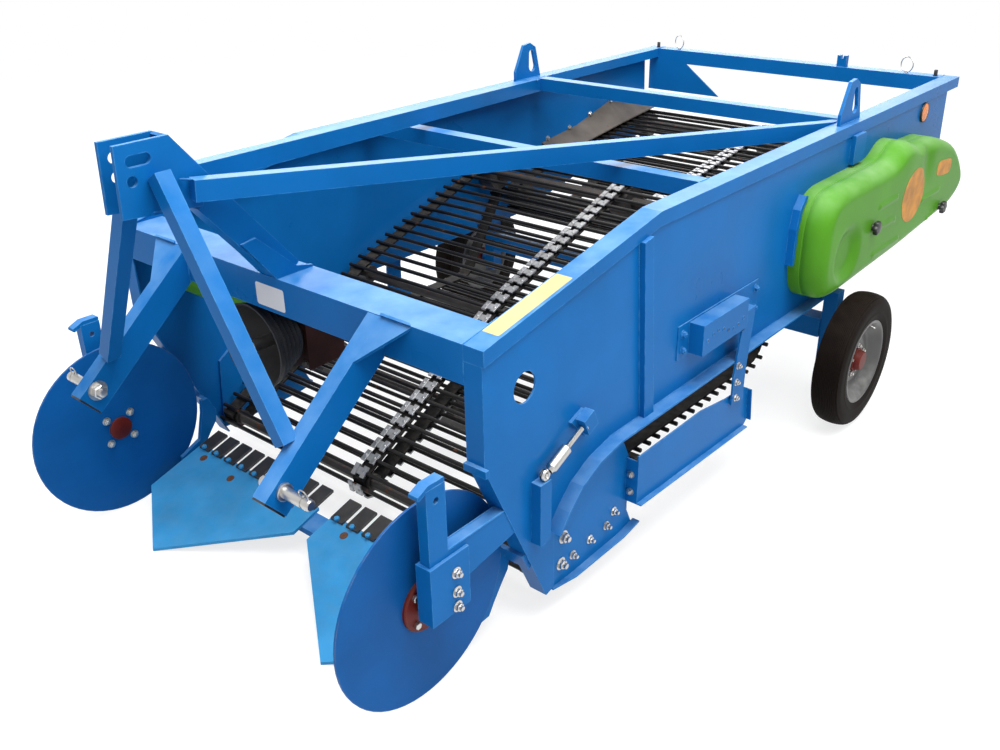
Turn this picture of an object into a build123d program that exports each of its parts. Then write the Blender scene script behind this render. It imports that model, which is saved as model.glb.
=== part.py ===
from build123d import *
from math import asin, atan2, cos, hypot, pi, radians, sin, tan
import os

# Two-row potato harvester carried on a tractor's three-point linkage.
# Millimetres. X runs across (+X is the machine's left side), the linkage faces -Y, Z is up.
# The origin lies on the floor, midway between the side walls, under the front face of the front beam.

# Driving dimensions of the frame
half_width = 725.0
front_top = 884.0
rail_top = 1018.0
bend_y = 695.0
frame_length = 2954.0
rail_width = 60.0
rail_height = 40.0
wall_thickness = 5.0
wall_inset = 6.0
wall_rear_y = 2850.0
wall_rear_lean = 22.0
wall_rear_foot = 620.0
wall_foot = 438.0
wall_foot_end = 1850.0
lip_width = 40.0
lip_thickness = 6.0
rib_depth = 18.0
window_y = 146.0
window_z = 737.0
window_radius = 40.0
front_edge_foot = 581.0
toe_y = 230.0
toe_z = 84.0
toe_rear_y = 262.0
beam_depth = 120.0
beam_height = 100.0
cross_tube = 50.0
rear_tube = 60.0
middle_tube_y = 1974.0
second_tube_y = 1010.0
fit = 0.3

# Three-point linkage, category 2; the heights on the mast are counted down from its top
mast_gap = 52.0
mast_plate = 10.0
mast_top = 1295.0
top_link_y = -343.0
top_link_drop = 82.0
top_link_bore = 12.8
slot_y = -321.0
slot_drop = 39.0
slot_length = 62.0
mast_foot_drop = 159.0
strut_drop = 125.0
brace_drop = 73.0
post_depth = 76.0
leg_width = 45.0
leg_depth = 80.0
leg_wall = 6.0
leg_outer = 412.5
lower_pin_y = -330.0
lower_pin_z = 572.0
lower_pin_radius = 14.0
lower_pin_length = 95.0
brace_tube = 40.0
strut_width = 40.0
strut_height = 50.0
gusset_thickness = 8.0

# Shares and coulters
share_thickness = 10.0
share_slope = 15.9
share_tip_y = -266.0
share_outer_x = half_width - 101.0
share_inner_x = 32.0
share_tip_x = (share_inner_x + share_outer_x) / 2 + 51.0
share_rear_y = 95.0
finger_count = 9
finger_width = 50.0
finger_first_x = 62.0
finger_pitch = (share_outer_x - 34.0 - finger_first_x) / (finger_count - 1)
finger_rear_y = 160.0
finger_thickness = 8.0
disc_radius = 275.0
disc_thickness = 6.0
disc_x = half_width - 71.0
disc_y = -153.0
disc_floor_gap = 2.0
hub_radius = 74.0
hub_flange = 10.0
spindle_radius = 15.0
stem_width = 60.0
stem_thickness = 30.0
stem_x = half_width - 21.0
stem_top = 622.0
strap_thickness = 8.0

# Rod webs
rod_radius = 7.5
rod_flat = rod_radius * cos(pi / 6)
rod_pitch = 50.0
rod_end_gap = 24.0
belt_width = 50.0
belt_thickness = 6.0
link_width = 55.0
link_length = 38.0
link_thickness = 7.0
shaft_radius = 20.0

# Gauge wheels
tyre_radius = 240.0
tyre_half_width = 52.0
rim_radius = 142.0
rim_half_width = 44.0
wheel_hub_radius = 38.0
wheel_x = half_width + 157.0
wheel_y = 1778.0
post_size = 50.0
post_x = half_width + 60.0

# Drive
gearbox_x = -120.0
gearbox_width = 180.0
gearbox_foot = 560.0
gearbox_top = 785.0
gearbox_rear = 250.0
pto_z = 650.0
pto_radius = 17.45
guard_depth = 125.0

wall_outer = half_width - wall_inset
wall_inner = wall_outer - wall_thickness
rail_inner = half_width - rail_width
rod_half_length = wall_inner - rod_end_gap
belt_x = rod_half_length - 40.0

# Rollers that carry the two webs: y, z, radius of the rods' path, side (+1 inside the loop, -1 outside),
# and half the length of the roller's shaft, with none where the slack run only hangs
holder_thickness = 10.0
skirt_thickness = 4.0
holder_inner = wall_inner - holder_thickness
skirt_outer = wall_outer + lip_width - 5.0
skirt_inner = skirt_outer - skirt_thickness
front_rollers = [
    (264.0, 142.0, 40.0, 1, holder_inner),
    (895.0, 474.0, 45.0, 1, wall_inner),
    (1637.0, 684.0, 75.0, 1, wall_inner),
    (1400.0, 395.0, 105.0, 1, 0),
    (690.0, 205.0, 85.0, -1, skirt_inner),
]
rear_rollers = [
    (1805.0, 557.0, 66.0, 1, wall_inner),
    (2790.0, 676.0, 66.0, 1, wall_inner),
    (2200.0, 600.0, 165.0, 1, 0),
]


def side_plate(points, x_start, thickness):
    """A plate cut to an outline in (y, z), standing from x_start towards +X."""
    return extrude(Plane.YZ.offset(x_start) * Polygon(*points, align=None), amount=thickness, dir=(1, 0, 0))


def box(x0, x1, y0, y1, z0, z1):
    """A block given by its limits."""
    return Pos((x0 + x1) / 2, (y0 + y1) / 2, (z0 + z1) / 2) * Box(x1 - x0, y1 - y0, z1 - z0)


def rod_x(x0, x1, y, z, radius):
    """A round bar along X."""
    return extrude(Plane.YZ.offset(x0) * Pos(y, z) * Circle(radius), amount=x1 - x0)


def turned(x, y, z, sections, sides):
    """A round piece along X, drawn with flats; each section gives an offset along X and a radius."""
    rings = []
    for along, radius in sections:
        rings.append(Plane.YZ.offset(x + along) * Pos(y, z) * RegularPolygon(radius, sides))
    return loft(rings, ruled=True)


def strip(path, thickness):
    """Outline of a bent sheet seen on its edge: a path in (y, z), and the same path moved to its right."""
    moved = []
    for index, (y, z) in enumerate(path):
        y0, z0 = path[max(index - 1, 0)]
        y1, z1 = path[min(index + 1, len(path) - 1)]
        heading = atan2(z1 - z0, y1 - y0)
        moved.append((y + thickness * sin(heading), z - thickness * cos(heading)))
    return path + moved[::-1]


def bar_between(start, end, radius, sides=10):
    """A straight bar between two points, drawn with flats."""
    run = Vector(*end) - Vector(*start)
    return extrude(Plane(origin=start, z_dir=run) * RegularPolygon(radius, sides), amount=run.length)


def tube_between(start, end, width, depth, wall=0.0, side=(1, 0, 0)):
    """A rectangular tube between two points; width lies along the side direction."""
    run = Vector(*end) - Vector(*start)
    plane = Plane(origin=start, x_dir=side, z_dir=run)
    section = Rectangle(width, depth)
    if wall:
        section -= Rectangle(width - 2 * wall, depth - 2 * wall)
    return extrude(plane * section, amount=run.length)


def other_side(solid):
    """The same piece on the right side of the machine."""
    return mirror(solid, about=Plane.YZ)


def tangent_angle(first, second):
    """Heading of the straight run from one roller to the next."""
    y1, z1, r1, s1 = first
    y2, z2, r2, s2 = second
    span = hypot(y2 - y1, z2 - z1)
    heading = atan2(z2 - z1, y2 - y1)
    return heading - asin((s1 * r1 - s2 * r2) / span)


def loop_arcs(rollers):
    """Arcs round the rollers in order: the roller, the heading where its arc starts, and the turn."""
    pieces = []
    rows = [row[:4] for row in rollers]
    for index, roller in enumerate(rows):
        before = tangent_angle(rows[index - 1], roller)
        after = tangent_angle(roller, rows[(index + 1) % len(rows)])
        turn = (after - before) % (2 * pi)
        if roller[3] > 0 and turn > 0:
            turn -= 2 * pi
        pieces.append((roller, before, turn))
    return pieces


def on_roller(roller, heading):
    """The point where a run with this heading touches the roller."""
    y, z, radius, side = roller
    return (y - side * radius * sin(heading), z + side * radius * cos(heading))


def loop_stations(rollers, pitch):
    """Points and headings at equal steps along the rods' path."""
    runs = []
    pieces = loop_arcs(rollers)
    for index, (roller, before, turn) in enumerate(pieces):
        runs.append(("arc", roller, before, turn, abs(turn) * roller[2]))
        end = on_roller(roller, before + turn)
        following, heading, _ = pieces[(index + 1) % len(pieces)]
        begin = on_roller(following, heading)
        runs.append(("line", end, begin, heading, hypot(begin[0] - end[0], begin[1] - end[1])))
    length = sum(run[4] for run in runs)
    count = round(length / pitch)
    stations = []
    for step in range(count):
        along = length * (step + 0.5) / count
        for kind, first, second, third, run_length in runs:
            if along > run_length:
                along -= run_length
                continue
            share = along / run_length
            if kind == "arc":
                heading = second + third * share
                stations.append((*on_roller(first, heading), heading))
            else:
                y = first[0] + (second[0] - first[0]) * share
                z = first[1] + (second[1] - first[1]) * share
                stations.append((y, z, third))
            break
    return stations


def web_rods(rollers):
    """The bars of a web, with six flats each."""
    rods = Part()
    for y, z, heading in loop_stations(rollers, rod_pitch):
        plane = Plane(origin=(-rod_half_length, y, z), x_dir=(0, cos(heading), sin(heading)), z_dir=(1, 0, 0))
        rods += extrude(plane * RegularPolygon(rod_radius, 6), amount=2 * rod_half_length)
    return rods


def web_links(rollers):
    """The galvanized centre links that sit on the bars."""
    links = Part()
    lift = rod_flat + fit + link_thickness / 2
    for y, z, heading in loop_stations(rollers, rod_pitch):
        normal = (-sin(heading) * lift, cos(heading) * lift)
        origin = (0, y + normal[0], z + normal[1])
        plane = Plane(origin=origin, x_dir=(1, 0, 0), z_dir=(0, -sin(heading), cos(heading)))
        links += plane * Box(link_width, link_length, link_thickness)
    return links


def band_outline(stations, depth):
    """Closed outline that touches every bar at a depth inside the loop and bends between the bars."""
    corners = []
    for index, (y, z, heading) in enumerate(stations):
        y1, z1, heading1 = stations[(index + 1) % len(stations)]
        turn = sin(heading1 - heading)
        if abs(turn) < 1e-6:
            continue
        start = (y + depth * sin(heading), z - depth * cos(heading))
        end = (y1 + depth * sin(heading1), z1 - depth * cos(heading1))
        along = ((end[0] - start[0]) * sin(heading1) - (end[1] - start[1]) * cos(heading1)) / turn
        corners.append((start[0] + along * cos(heading), start[1] + along * sin(heading)))
    return corners


def web_belts(rollers):
    """The bands under the bars, one at each end and one in the middle."""
    stations = loop_stations(rollers, rod_pitch)
    depth = rod_flat + fit
    outer = band_outline(stations, depth)
    inner = band_outline(stations, depth + belt_thickness)
    belts = Part()
    for centre in (-belt_x, 0, belt_x):
        start = centre - belt_width / 2
        belts += side_plate(outer, start, belt_width) - side_plate(inner, start, belt_width)
    return belts


parts = {}

# Top rails: box section, rising from the front beam to the bend and then level
rail_outline = [
    (0, front_top),
    (bend_y, rail_top),
    (frame_length, rail_top),
    (frame_length, rail_top - rail_height),
    (bend_y, rail_top - rail_height),
    (0, front_top - rail_height),
]
top_rail = side_plate(rail_outline, rail_inner, rail_width)

# Side walls: sheet with a round window, an outward lip along the foot that curves down to the toe,
# an inward flange along the front edge, and upright ribs outside
foot_curve = [
    (wall_foot_end, wall_foot),
    (500, wall_foot),
    (410, wall_foot - 18),
    (335, wall_foot - 53),
    (280, wall_foot - 103),
    (240, wall_foot - 153),
]
wall_outline = [
    (0, front_top - rail_height),
    (bend_y, rail_top - rail_height),
    (wall_rear_y, rail_top - rail_height),
    (wall_rear_y + wall_rear_lean, wall_rear_foot),
    *foot_curve[:-1],
    (toe_rear_y, wall_foot - 125),
    (toe_rear_y, toe_z + 8),
    (toe_y, toe_z),
    (0, front_edge_foot),
]
front_edge = [(toe_y, toe_z), (0, front_edge_foot)]
beam_foot = front_top - beam_height
cap_height = 19.0
side_wall = side_plate(wall_outline, wall_inner, wall_thickness)
side_wall -= rod_x(wall_inner, wall_outer, window_y, window_z, window_radius)
side_wall += side_plate(strip(foot_curve, lip_thickness), wall_outer, lip_width)
side_wall += side_plate(strip(front_edge, wall_thickness), rail_inner, wall_inner - rail_inner)
side_wall += box(rail_inner, wall_inner, 0, wall_thickness, front_edge_foot, front_top - rail_height)
cap_foot = front_edge_foot - cap_height / 2
side_wall += box(rail_inner, wall_outer + 14, -12, 0, cap_foot, cap_foot + cap_height)

# Ribs: front and rear edge at the top, front and rear edge at the foot, height of the foot
wall_ribs = [
    (601, 639, 645, 691, wall_foot + lip_thickness),
    (1905, 1990, 1905, 1990, 880),
]
for top_front, top_rear, foot_front, foot_rear, foot_z in wall_ribs:
    rib_outline = [(top_front, rail_top), (top_rear, rail_top), (foot_rear, foot_z), (foot_front, foot_z)]
    rib = side_plate(rib_outline, wall_outer, rib_depth)
    side_wall += rib & side_plate(wall_outline, wall_outer, rib_depth)

# Front beam between the walls, flush with the rails
front_beam = box(-rail_inner, rail_inner, 0, beam_depth, beam_foot, front_top)

# Cross tubes near the top, and the rear beam with the plate under it that turns the crop inwards
second_tube = box(-rail_inner, rail_inner, second_tube_y - cross_tube / 2, second_tube_y + cross_tube / 2,
                  rail_top - cross_tube, rail_top)
middle_tube = box(-rail_inner, rail_inner, middle_tube_y - cross_tube / 2, middle_tube_y + cross_tube / 2,
                  rail_top - cross_tube, rail_top)
rear_beam_y = frame_length - rear_tube
rear_beam = box(-rail_inner, rail_inner, rear_beam_y, frame_length, rail_top - rear_tube, rail_top)
rear_plate_foot = 825.0
rear_plate_reach = 155.0
rear_plate_plane = Plane(origin=(0, rear_beam_y, 0), x_dir=(1, 0, 0), z_dir=(0, -1, 0))
rear_plate_outline = [
    (-wall_inner, rail_top - rail_height),
    (-rail_inner, rail_top - rail_height),
    (-rail_inner, rail_top - rear_tube),
    (rear_plate_reach - rail_inner, rail_top - rear_tube),
    (rear_plate_reach - rail_inner + 185, rear_plate_foot),
    (-wall_inner, rear_plate_foot),
]
rear_plate = Polygon(*rear_plate_outline, align=None)
rear_beam += extrude(rear_plate_plane * rear_plate, amount=wall_thickness, dir=(0, 1, 0))

# Mast: two upright plates with the top link's holes joined by a sloping back, a leaning post behind them,
# side ribs on the post, two braces and the long struts to the rails
plate_outer = mast_gap / 2 + mast_plate
back_top = (-240, mast_top)
back_foot = (-150, mast_top - 110)
plate_outline = [
    (-374, mast_top),
    back_top,
    back_foot,
    (-180, mast_top - 175),
    (-381, mast_top - mast_foot_drop),
]
mast_sheet = side_plate(plate_outline, mast_gap / 2, mast_plate)
mast_sheet += side_plate(strip([back_foot, back_top], -gusset_thickness), 0, mast_gap / 2)
mast_sheet -= rod_x(mast_gap / 2, plate_outer, top_link_y, mast_top - top_link_drop, top_link_bore)
slot = Plane.YZ.offset(mast_gap / 2) * Pos(slot_y, mast_top - slot_drop)
left_plate = mast_sheet - extrude(slot * SlotOverall(slot_length, 2 * top_link_bore), amount=mast_plate)
upper_hole = [(mast_gap / 2, top_link_bore), (plate_outer, top_link_bore)]
right_plate = other_side(mast_sheet - turned(0, top_link_y, mast_top - slot_drop, upper_hole, 16))
post_end = (0, -160, mast_top - mast_foot_drop)
mast_post = tube_between((0, 52, front_top), post_end, mast_gap - 2 * fit, post_depth)
mast_post -= box(-mast_gap, mast_gap, -post_depth, 2 * beam_depth, beam_foot, front_top)
post_rib_rear = beam_depth - 3
post_rib_outline = [
    (-90, 1000),
    (-47, 1006),
    (66, 902),
    (post_rib_rear, 890),
    (post_rib_rear, front_top),
    (0, front_top),
]
post_rib = side_plate(post_rib_outline, mast_gap / 2, gusset_thickness)

strut_start = Vector(plate_outer + strut_width / 2 + 2, -215, mast_top - strut_drop)
strut_meet = Vector(rail_inner, middle_tube_y - 44, rail_top - strut_height / 2)
strut_end = strut_start + (strut_meet - strut_start) * 1.1
strut = tube_between(strut_start, strut_end, strut_width, strut_height)
strut &= box(plate_outer, rail_inner, -frame_length, frame_length, 0, mast_top)
strut -= middle_tube

# Lower legs with the linkage pins, and a triangular gusset between each leg's top and the beam
leg_centre = leg_outer - leg_width / 2
leg_foot = (-382, 567)
leg_dir = Vector(0, leg_foot[0], leg_foot[1] - front_top).normalized()
leg_down = Vector(0, -leg_dir.Z, leg_dir.Y) * (leg_depth / 2)
leg_start = (leg_centre, leg_down.Y, front_top - 2 + leg_down.Z)
leg_end = (leg_centre, leg_foot[0] + leg_down.Y, leg_foot[1] + leg_down.Z)
hitch_leg = tube_between(leg_start, leg_end, leg_width, leg_depth, leg_wall)
gusset_plane = Plane(origin=(leg_outer, 0, front_top - 2), x_dir=(1, 0, 0), z_dir=leg_down)
gusset_reach = 125.0
gusset_width = 98.0
for reach in (gusset_reach, -gusset_reach):
    gusset = Polygon((0, 0), (gusset_width, 0), (0, reach), align=None)
    hitch_leg += extrude(gusset_plane * gusset, amount=gusset_thickness)
hitch_leg -= box(0, half_width, 0, frame_length, 0, mast_top)
brace_start = (plate_outer + brace_tube / 2, -290, mast_top - brace_drop)
brace_end = (leg_centre - 20, -275, 655)
brace = tube_between(brace_start, brace_end, brace_tube, brace_tube)
brace -= tube_between(leg_start, leg_end, leg_width, leg_depth)
lower_pin = rod_x(leg_outer + 0.01, leg_outer + lower_pin_length, lower_pin_y, lower_pin_z, lower_pin_radius)

# Shares: flat pointed plates, with the lifting fingers on their rear edge
slope = tan(radians(share_slope))


def share_height(y):
    """Height of a share's upper face over the floor."""
    return share_thickness + (y - share_tip_y) * slope


def sloping_plate(y0, y1, x0, width, lift, thickness):
    """A plate along the shares' slope, its upper face a given height over theirs."""
    top = [(y0, share_height(y0) + lift), (y1, share_height(y1) + lift)]
    return side_plate(top + [(y, z - thickness) for y, z in top[::-1]], x0, width)


under = share_thickness / cos(radians(share_slope))
share_plan = [
    (share_inner_x, share_rear_y),
    (share_inner_x - 3, -8),
    (share_tip_x, share_tip_y),
    (share_outer_x - 3, -108),
    (share_outer_x, share_rear_y),
]
share = extrude(Polygon(*share_plan, align=None), amount=front_top, dir=(0, 0, 1))
share &= sloping_plate(share_tip_y - 50, share_rear_y + 50, 0, half_width, 0, under)
fingers = Part()
for number in range(finger_count):
    finger_x = finger_first_x + number * finger_pitch - finger_width / 2
    fingers += sloping_plate(share_rear_y - 15, finger_rear_y, finger_x, finger_width,
                             finger_thickness, finger_thickness)

# Coulter disc with its hub, spindle and clamp-on holder: a flat stem in a bent strap on a short arm
disc_z = disc_radius + disc_floor_gap
disc_sides = 60
hub_sides = 16
disc_half = disc_thickness / 2
disc_bore = spindle_radius + 6
disc = turned(disc_x, disc_y, disc_z, [(-disc_half, disc_radius), (disc_half, disc_radius)], disc_sides)
disc -= turned(disc_x, disc_y, disc_z, [(-disc_half, disc_bore), (disc_half, disc_bore)], hub_sides)
stem_inner = stem_x - stem_thickness / 2
stem_outer = stem_x + stem_thickness / 2
barrel_radius = 32.0
hub_start = disc_half + hub_flange
hub_end = stem_inner - disc_x - 2
hub = turned(disc_x, disc_y, disc_z, [(disc_half, hub_radius), (hub_start, hub_radius)], hub_sides)
hub += turned(disc_x, disc_y, disc_z, [(hub_start, barrel_radius), (hub_end, barrel_radius - 4)], hub_sides)
hub -= rod_x(disc_x - disc_thickness, stem_x, disc_y, disc_z, spindle_radius + fit)
spindle = rod_x(disc_x - disc_half - 2, stem_inner, disc_y, disc_z, spindle_radius)
stem_front = disc_y - stem_width / 2 - 7
stem_rear = stem_front + stem_width
stem_foot = disc_z - spindle_radius - 5
stem = box(stem_inner, stem_outer, stem_front, stem_rear, stem_foot, stem_top)
pin_hole = [(-stem_thickness / 2, 9), (stem_thickness / 2, 9)]
stem -= turned(stem_x, (stem_front + stem_rear) / 2, stem_top - 35, pin_hole, 8)
clamp_foot = 262.0
clamp_top = 422.0
clamp_rear = -70.0
strap_inner = stem_inner - strap_thickness
strap_outer = stem_outer + strap_thickness
clamp = box(strap_inner, strap_outer, stem_front - strap_thickness, clamp_rear, clamp_foot, clamp_top)
clamp -= box(stem_inner, stem_outer, stem_front, clamp_rear, clamp_foot, clamp_top)
clamp -= box(strap_inner, stem_inner, stem_front, clamp_rear, clamp_foot, disc_z + barrel_radius + 6)


def front_edge_y(z):
    """Where the sloping lower part of a wall's front edge stands at this height."""
    return toe_y * (front_edge_foot - z) / (front_edge_foot - toe_z)


arm_top = 440.0
arm_foot = 357.0
arm = side_plate(
    [
        (stem_rear, arm_top),
        (front_edge_y(arm_top), arm_top),
        (front_edge_y(arm_foot), arm_foot),
        (stem_rear, clamp_foot + 60),
    ],
    stem_inner,
    stem_thickness,
)

# Share holder: thick plate inside the foot of the wall, with the bar under the shares between the two
holder_outline = [
    (toe_y + 10, toe_z),
    (346, 80),
    (569, 84),
    (638, 95),
    (612, 150),
    (612, 330),
    (560, 430),
    (430, 420),
    (340, 380),
    (toe_rear_y, 330),
]
share_holder = side_plate(holder_outline, holder_inner, holder_thickness)
bar_front_y = 25.0
bar_rear_y = 85.0
bar_thickness = 20.0
leg_plate_x = half_width - 97.0
leg_plate = 14.0
share_bar = sloping_plate(bar_front_y, bar_rear_y, -leg_plate_x, 2 * leg_plate_x, -under, bar_thickness)

# Legs that carry the bar: hooked plates inside the discs, each with a foot on the wall's front edge
leg_top = 262.0
leg_seat = 210.0
share_leg_outline = [
    (22, 62),
    (22, 95),
    (95, 128),
    (118, 215),
    (124, leg_top),
    (front_edge_y(leg_top), leg_top),
    (front_edge_y(leg_seat), leg_seat),
    (166, 172),
    (140, 140),
    (110, 100),
    (88, 66),
]
leg_foot_outline = [
    (front_edge_y(leg_top), leg_top),
    (front_edge_y(leg_seat), leg_seat),
    (front_edge_y(leg_seat) - 10, leg_seat - 4),
    (front_edge_y(leg_top) - 10, leg_top - 4),
]
share_leg = side_plate(share_leg_outline, leg_plate_x, leg_plate)
share_leg += side_plate(leg_foot_outline, leg_plate_x + leg_plate, wall_inner - leg_plate_x - leg_plate)

# Gauge wheels on stub axles, with the cross axle between their posts
wheel_sides = 32
tyre_sections = [
    (-44, 148),
    (-tyre_half_width, 175),
    (-46, 216),
    (-28, tyre_radius),
    (28, tyre_radius),
    (46, 216),
    (tyre_half_width, 175),
    (44, 148),
]
tyre = turned(wheel_x, wheel_y, tyre_radius, tyre_sections, wheel_sides)
rim_sections = [(-rim_half_width, rim_radius), (rim_half_width, rim_radius)]
rim = turned(wheel_x, wheel_y, tyre_radius, rim_sections, wheel_sides)
tyre -= rim
dish_face = 6.0
dish_back = -2.0
rim_mouth = rim_radius - 6
outer_dish = [(dish_face, 104), (26, 120), (rim_half_width, rim_mouth)]
inner_dish = [(-rim_half_width, rim_mouth), (dish_back, 112)]
for sections in (outer_dish, inner_dish):
    rim -= turned(wheel_x, wheel_y, tyre_radius, sections, wheel_sides)
axle_end = 20.0
bore = rod_x(wheel_x - 2 * rim_half_width, wheel_x + axle_end, wheel_y, tyre_radius, spindle_radius + fit)
neck_radius = wheel_hub_radius - 8
rim -= turned(wheel_x, wheel_y, tyre_radius, [(dish_back, neck_radius), (dish_face, neck_radius)], hub_sides)
cap_sections = [(dish_face, wheel_hub_radius + 8), (16, wheel_hub_radius + 4), (36, 26)]
drum_sections = [(-rim_half_width, wheel_hub_radius), (dish_back, wheel_hub_radius)]
neck_sections = [(dish_back, neck_radius - fit), (dish_face, neck_radius - fit)]
wheel_hub = Part()
for sections in (cap_sections, drum_sections, neck_sections):
    wheel_hub += turned(wheel_x, wheel_y, tyre_radius, sections, hub_sides)
wheel_hub -= bore
post_top = 475.0
post_half = post_size / 2
post = box(post_x - post_half, post_x + post_half, wheel_y - post_half, wheel_y + post_half, 200, post_top)
post += rod_x(post_x, wheel_x + axle_end - 2, wheel_y, tyre_radius, spindle_radius)
axle = box(post_half - post_x, post_x - post_half, wheel_y - 35, wheel_y + 35, 300, 370)
bracket_foot = wall_foot + lip_thickness
post_bracket = box(wall_outer, post_x - post_half, wheel_y - 40, wheel_y + 40, bracket_foot, post_top)

# Belt guard on the left side: moulded cover with two humps, its outer edge rounded in two steps
guard_outline = [
    (1625, 500),
    (1570, 512),
    (1530, 552),
    (1508, 617),
    (1508, 753),
    (1524, 812),
    (1560, 852),
    (1620, 870),
    (2050, 868),
    (2090, 884),
    (2135, 912),
    (2200, 918),
    (2262, 896),
    (2300, 882),
    (2500, 872),
    (2580, 852),
    (2700, 815),
    (2790, 752),
    (2858, 680),
    (2868, 628),
    (2830, 578),
    (2736, 543),
    (2206, 513),
]
guard_back = wall_outer + fit
guard_front = guard_back + guard_depth
guard_sketch = Polygon(*guard_outline, align=None)
# Steps of the rounded edge: distance back from the face, and how far the outline has drawn in there
edge_steps = [(guard_depth, 0), (45, 0), (15, 12), (0, 38)]
guard = Part()
for (back, inset), (next_back, next_inset) in zip(edge_steps, edge_steps[1:]):
    rings = []
    for distance, draw in ((back, inset), (next_back, next_inset)):
        ring = offset(guard_sketch, -draw, kind=Kind.INTERSECTION) if draw else guard_sketch
        rings.append(Plane.YZ.offset(guard_front - distance) * ring)
    guard += loft(rings, ruled=True)
# Ribs pressed into the cover's face: y, z and length
guard_ribs = [(2010, 730, 90), (2010, 700, 70), (1985, 640, 110), (1985, 600, 130), (2560, 655, 80)]
for rib_y, rib_z, rib_length in guard_ribs:
    guard += box(guard_front, guard_front + 4, rib_y, rib_y + rib_length, rib_z, rib_z + 10)
knobs = Part()
for knob_y, knob_z in [(1900, 681), (2607, 580)]:
    knobs += turned(guard_front, knob_y, knob_z, [(fit, 16), (10, 20), (24, 18)], 12)
guard_flange_outline = [
    (1484, 640),
    (1500, 640),
    (1502, 756),
    (1518, 816),
    (1550, 856),
    (1534, 862),
    (1500, 822),
    (1486, 760),
]
guard_flange = side_plate(guard_flange_outline, wall_outer, 26)

# Adjuster boxes on the walls
adjuster_plate = 4.0
adjuster_rear = 1150.0
adjuster = box(wall_outer, wall_outer + adjuster_plate, 825, 1300, 545, 650)
adjuster += box(wall_outer + adjuster_plate, wall_outer + 51, 885, adjuster_rear, 550, 645)

# Side skirts beside the return run: sheet bent inwards at the front, outwards below and behind,
# hung from the wall by a bent strap that passes outside the lip
skirt_front = 600.0
skirt_foot = [(1230, 165), (skirt_front, 190)]
skirt_rear = [(1238, 301), (1252, 185)]
skirt_outline = [*skirt_foot, (skirt_front, 347), (936, 347), (1090, 324), (1212, 316), *skirt_rear]
skirt_lip = 15.0
skirt = side_plate(skirt_outline, skirt_inner, skirt_thickness)
skirt += side_plate(strip(skirt_foot, skirt_thickness), skirt_outer, skirt_lip)
skirt += side_plate(strip(skirt_rear, skirt_thickness), skirt_outer, skirt_lip)
skirt += box(wall_inner, skirt_inner, skirt_front, skirt_front + skirt_thickness, 190, 330)
strap_x = wall_outer + lip_width + 1.0
strap_outline = [
    (1156, 600),
    (1208, 600),
    (1200, 540),
    (1182, 400),
    (1180, 292),
    (1108, 296),
    (1106, 395),
    (1132, 540),
    (1152, 547),
]
skirt += side_plate(strap_outline, strap_x, 6)
skirt += box(wall_outer + adjuster_plate, strap_x, 1160, 1206, 560, 600)
skirt += box(skirt_outer, strap_x, 1110, 1176, 298, 312)

# Turnbuckles outside the walls' toes: lever and anchor on the wall, body, eye and threaded rod between them
buckle_x = wall_outer + 23.0
lever_top = 467.7
eye_radius = 16.0
lever = box(wall_outer, wall_outer + 30, 168, 210, 290, lever_top)
anchor_outline = [(317, 571), (370, 590), (412, 550), (382, 504)]
anchor = side_plate(anchor_outline, wall_outer, 9)
anchor += tube_between((buckle_x, 345, 551.5), (buckle_x, 385, 569), 28, 50)
turnbuckle = turned(buckle_x, 196, lever_top + fit + eye_radius, [(-12, eye_radius), (12, eye_radius)], 12)
turnbuckle += bar_between((buckle_x, 204, 488), (buckle_x, 282, 524), 15)
turnbuckle += bar_between((buckle_x, 282, 524), (buckle_x, 344.6, 551.3), 7)

# Rollers under the bands of the webs, on shafts that run through to the walls
shafts = {"front_web_rollers": front_rollers, "rear_web_rollers": rear_rollers}
roller_sides = 12
roller_half_width = 35.0
inner_gap = rod_flat + fit + belt_thickness + fit
outer_gap = rod_flat + link_thickness + 2 * fit

# Strips along the rear web: y, height at the wall and height of the free edge over the bars
strip_rows = [(2040, 722, 674), (2300, 752, 705), (2540, 815, 734), (2840, 792, 764)]
strip_free_x = half_width - 103.0
strip_sheet = 5.0
strip_faces = []
for row_y, wall_height, free_height in strip_rows:
    row_plane = Plane(origin=(0, row_y, 0), x_dir=(1, 0, 0), z_dir=(0, -1, 0))
    corners = [(wall_inner, wall_height), (strip_free_x, free_height)]
    corners += [(x, z - strip_sheet) for x, z in corners[::-1]]
    strip_faces.append(row_plane * Polygon(*corners, align=None))
crop_strip = loft(strip_faces, ruled=True)

# Lifting lugs with a hole that narrows upwards
lug_outline = [(1835, rail_top), (1835, rail_top + 37), (1888, rail_top + 137), (1930, rail_top + 142),
               (1965, rail_top + 122), (1998, rail_top)]
lug_x = half_width - 35.0
lug_thickness = 12.0
eye_low = (1943, rail_top + 47, 22)
eye_high = (1936, rail_top + 100, 14)
eye_sides = [(eye_low[0] - eye_low[2], eye_low[1]), (eye_low[0] + eye_low[2], eye_low[1]),
             (eye_high[0] + eye_high[2], eye_high[1]), (eye_high[0] - eye_high[2], eye_high[1])]
lug = side_plate(lug_outline, lug_x, lug_thickness) - side_plate(eye_sides, lug_x, lug_thickness)
for eye_y, eye_z, radius in (eye_low, eye_high):
    lug -= turned(lug_x, eye_y, eye_z, [(0, radius), (lug_thickness, radius)], 12)

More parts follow.
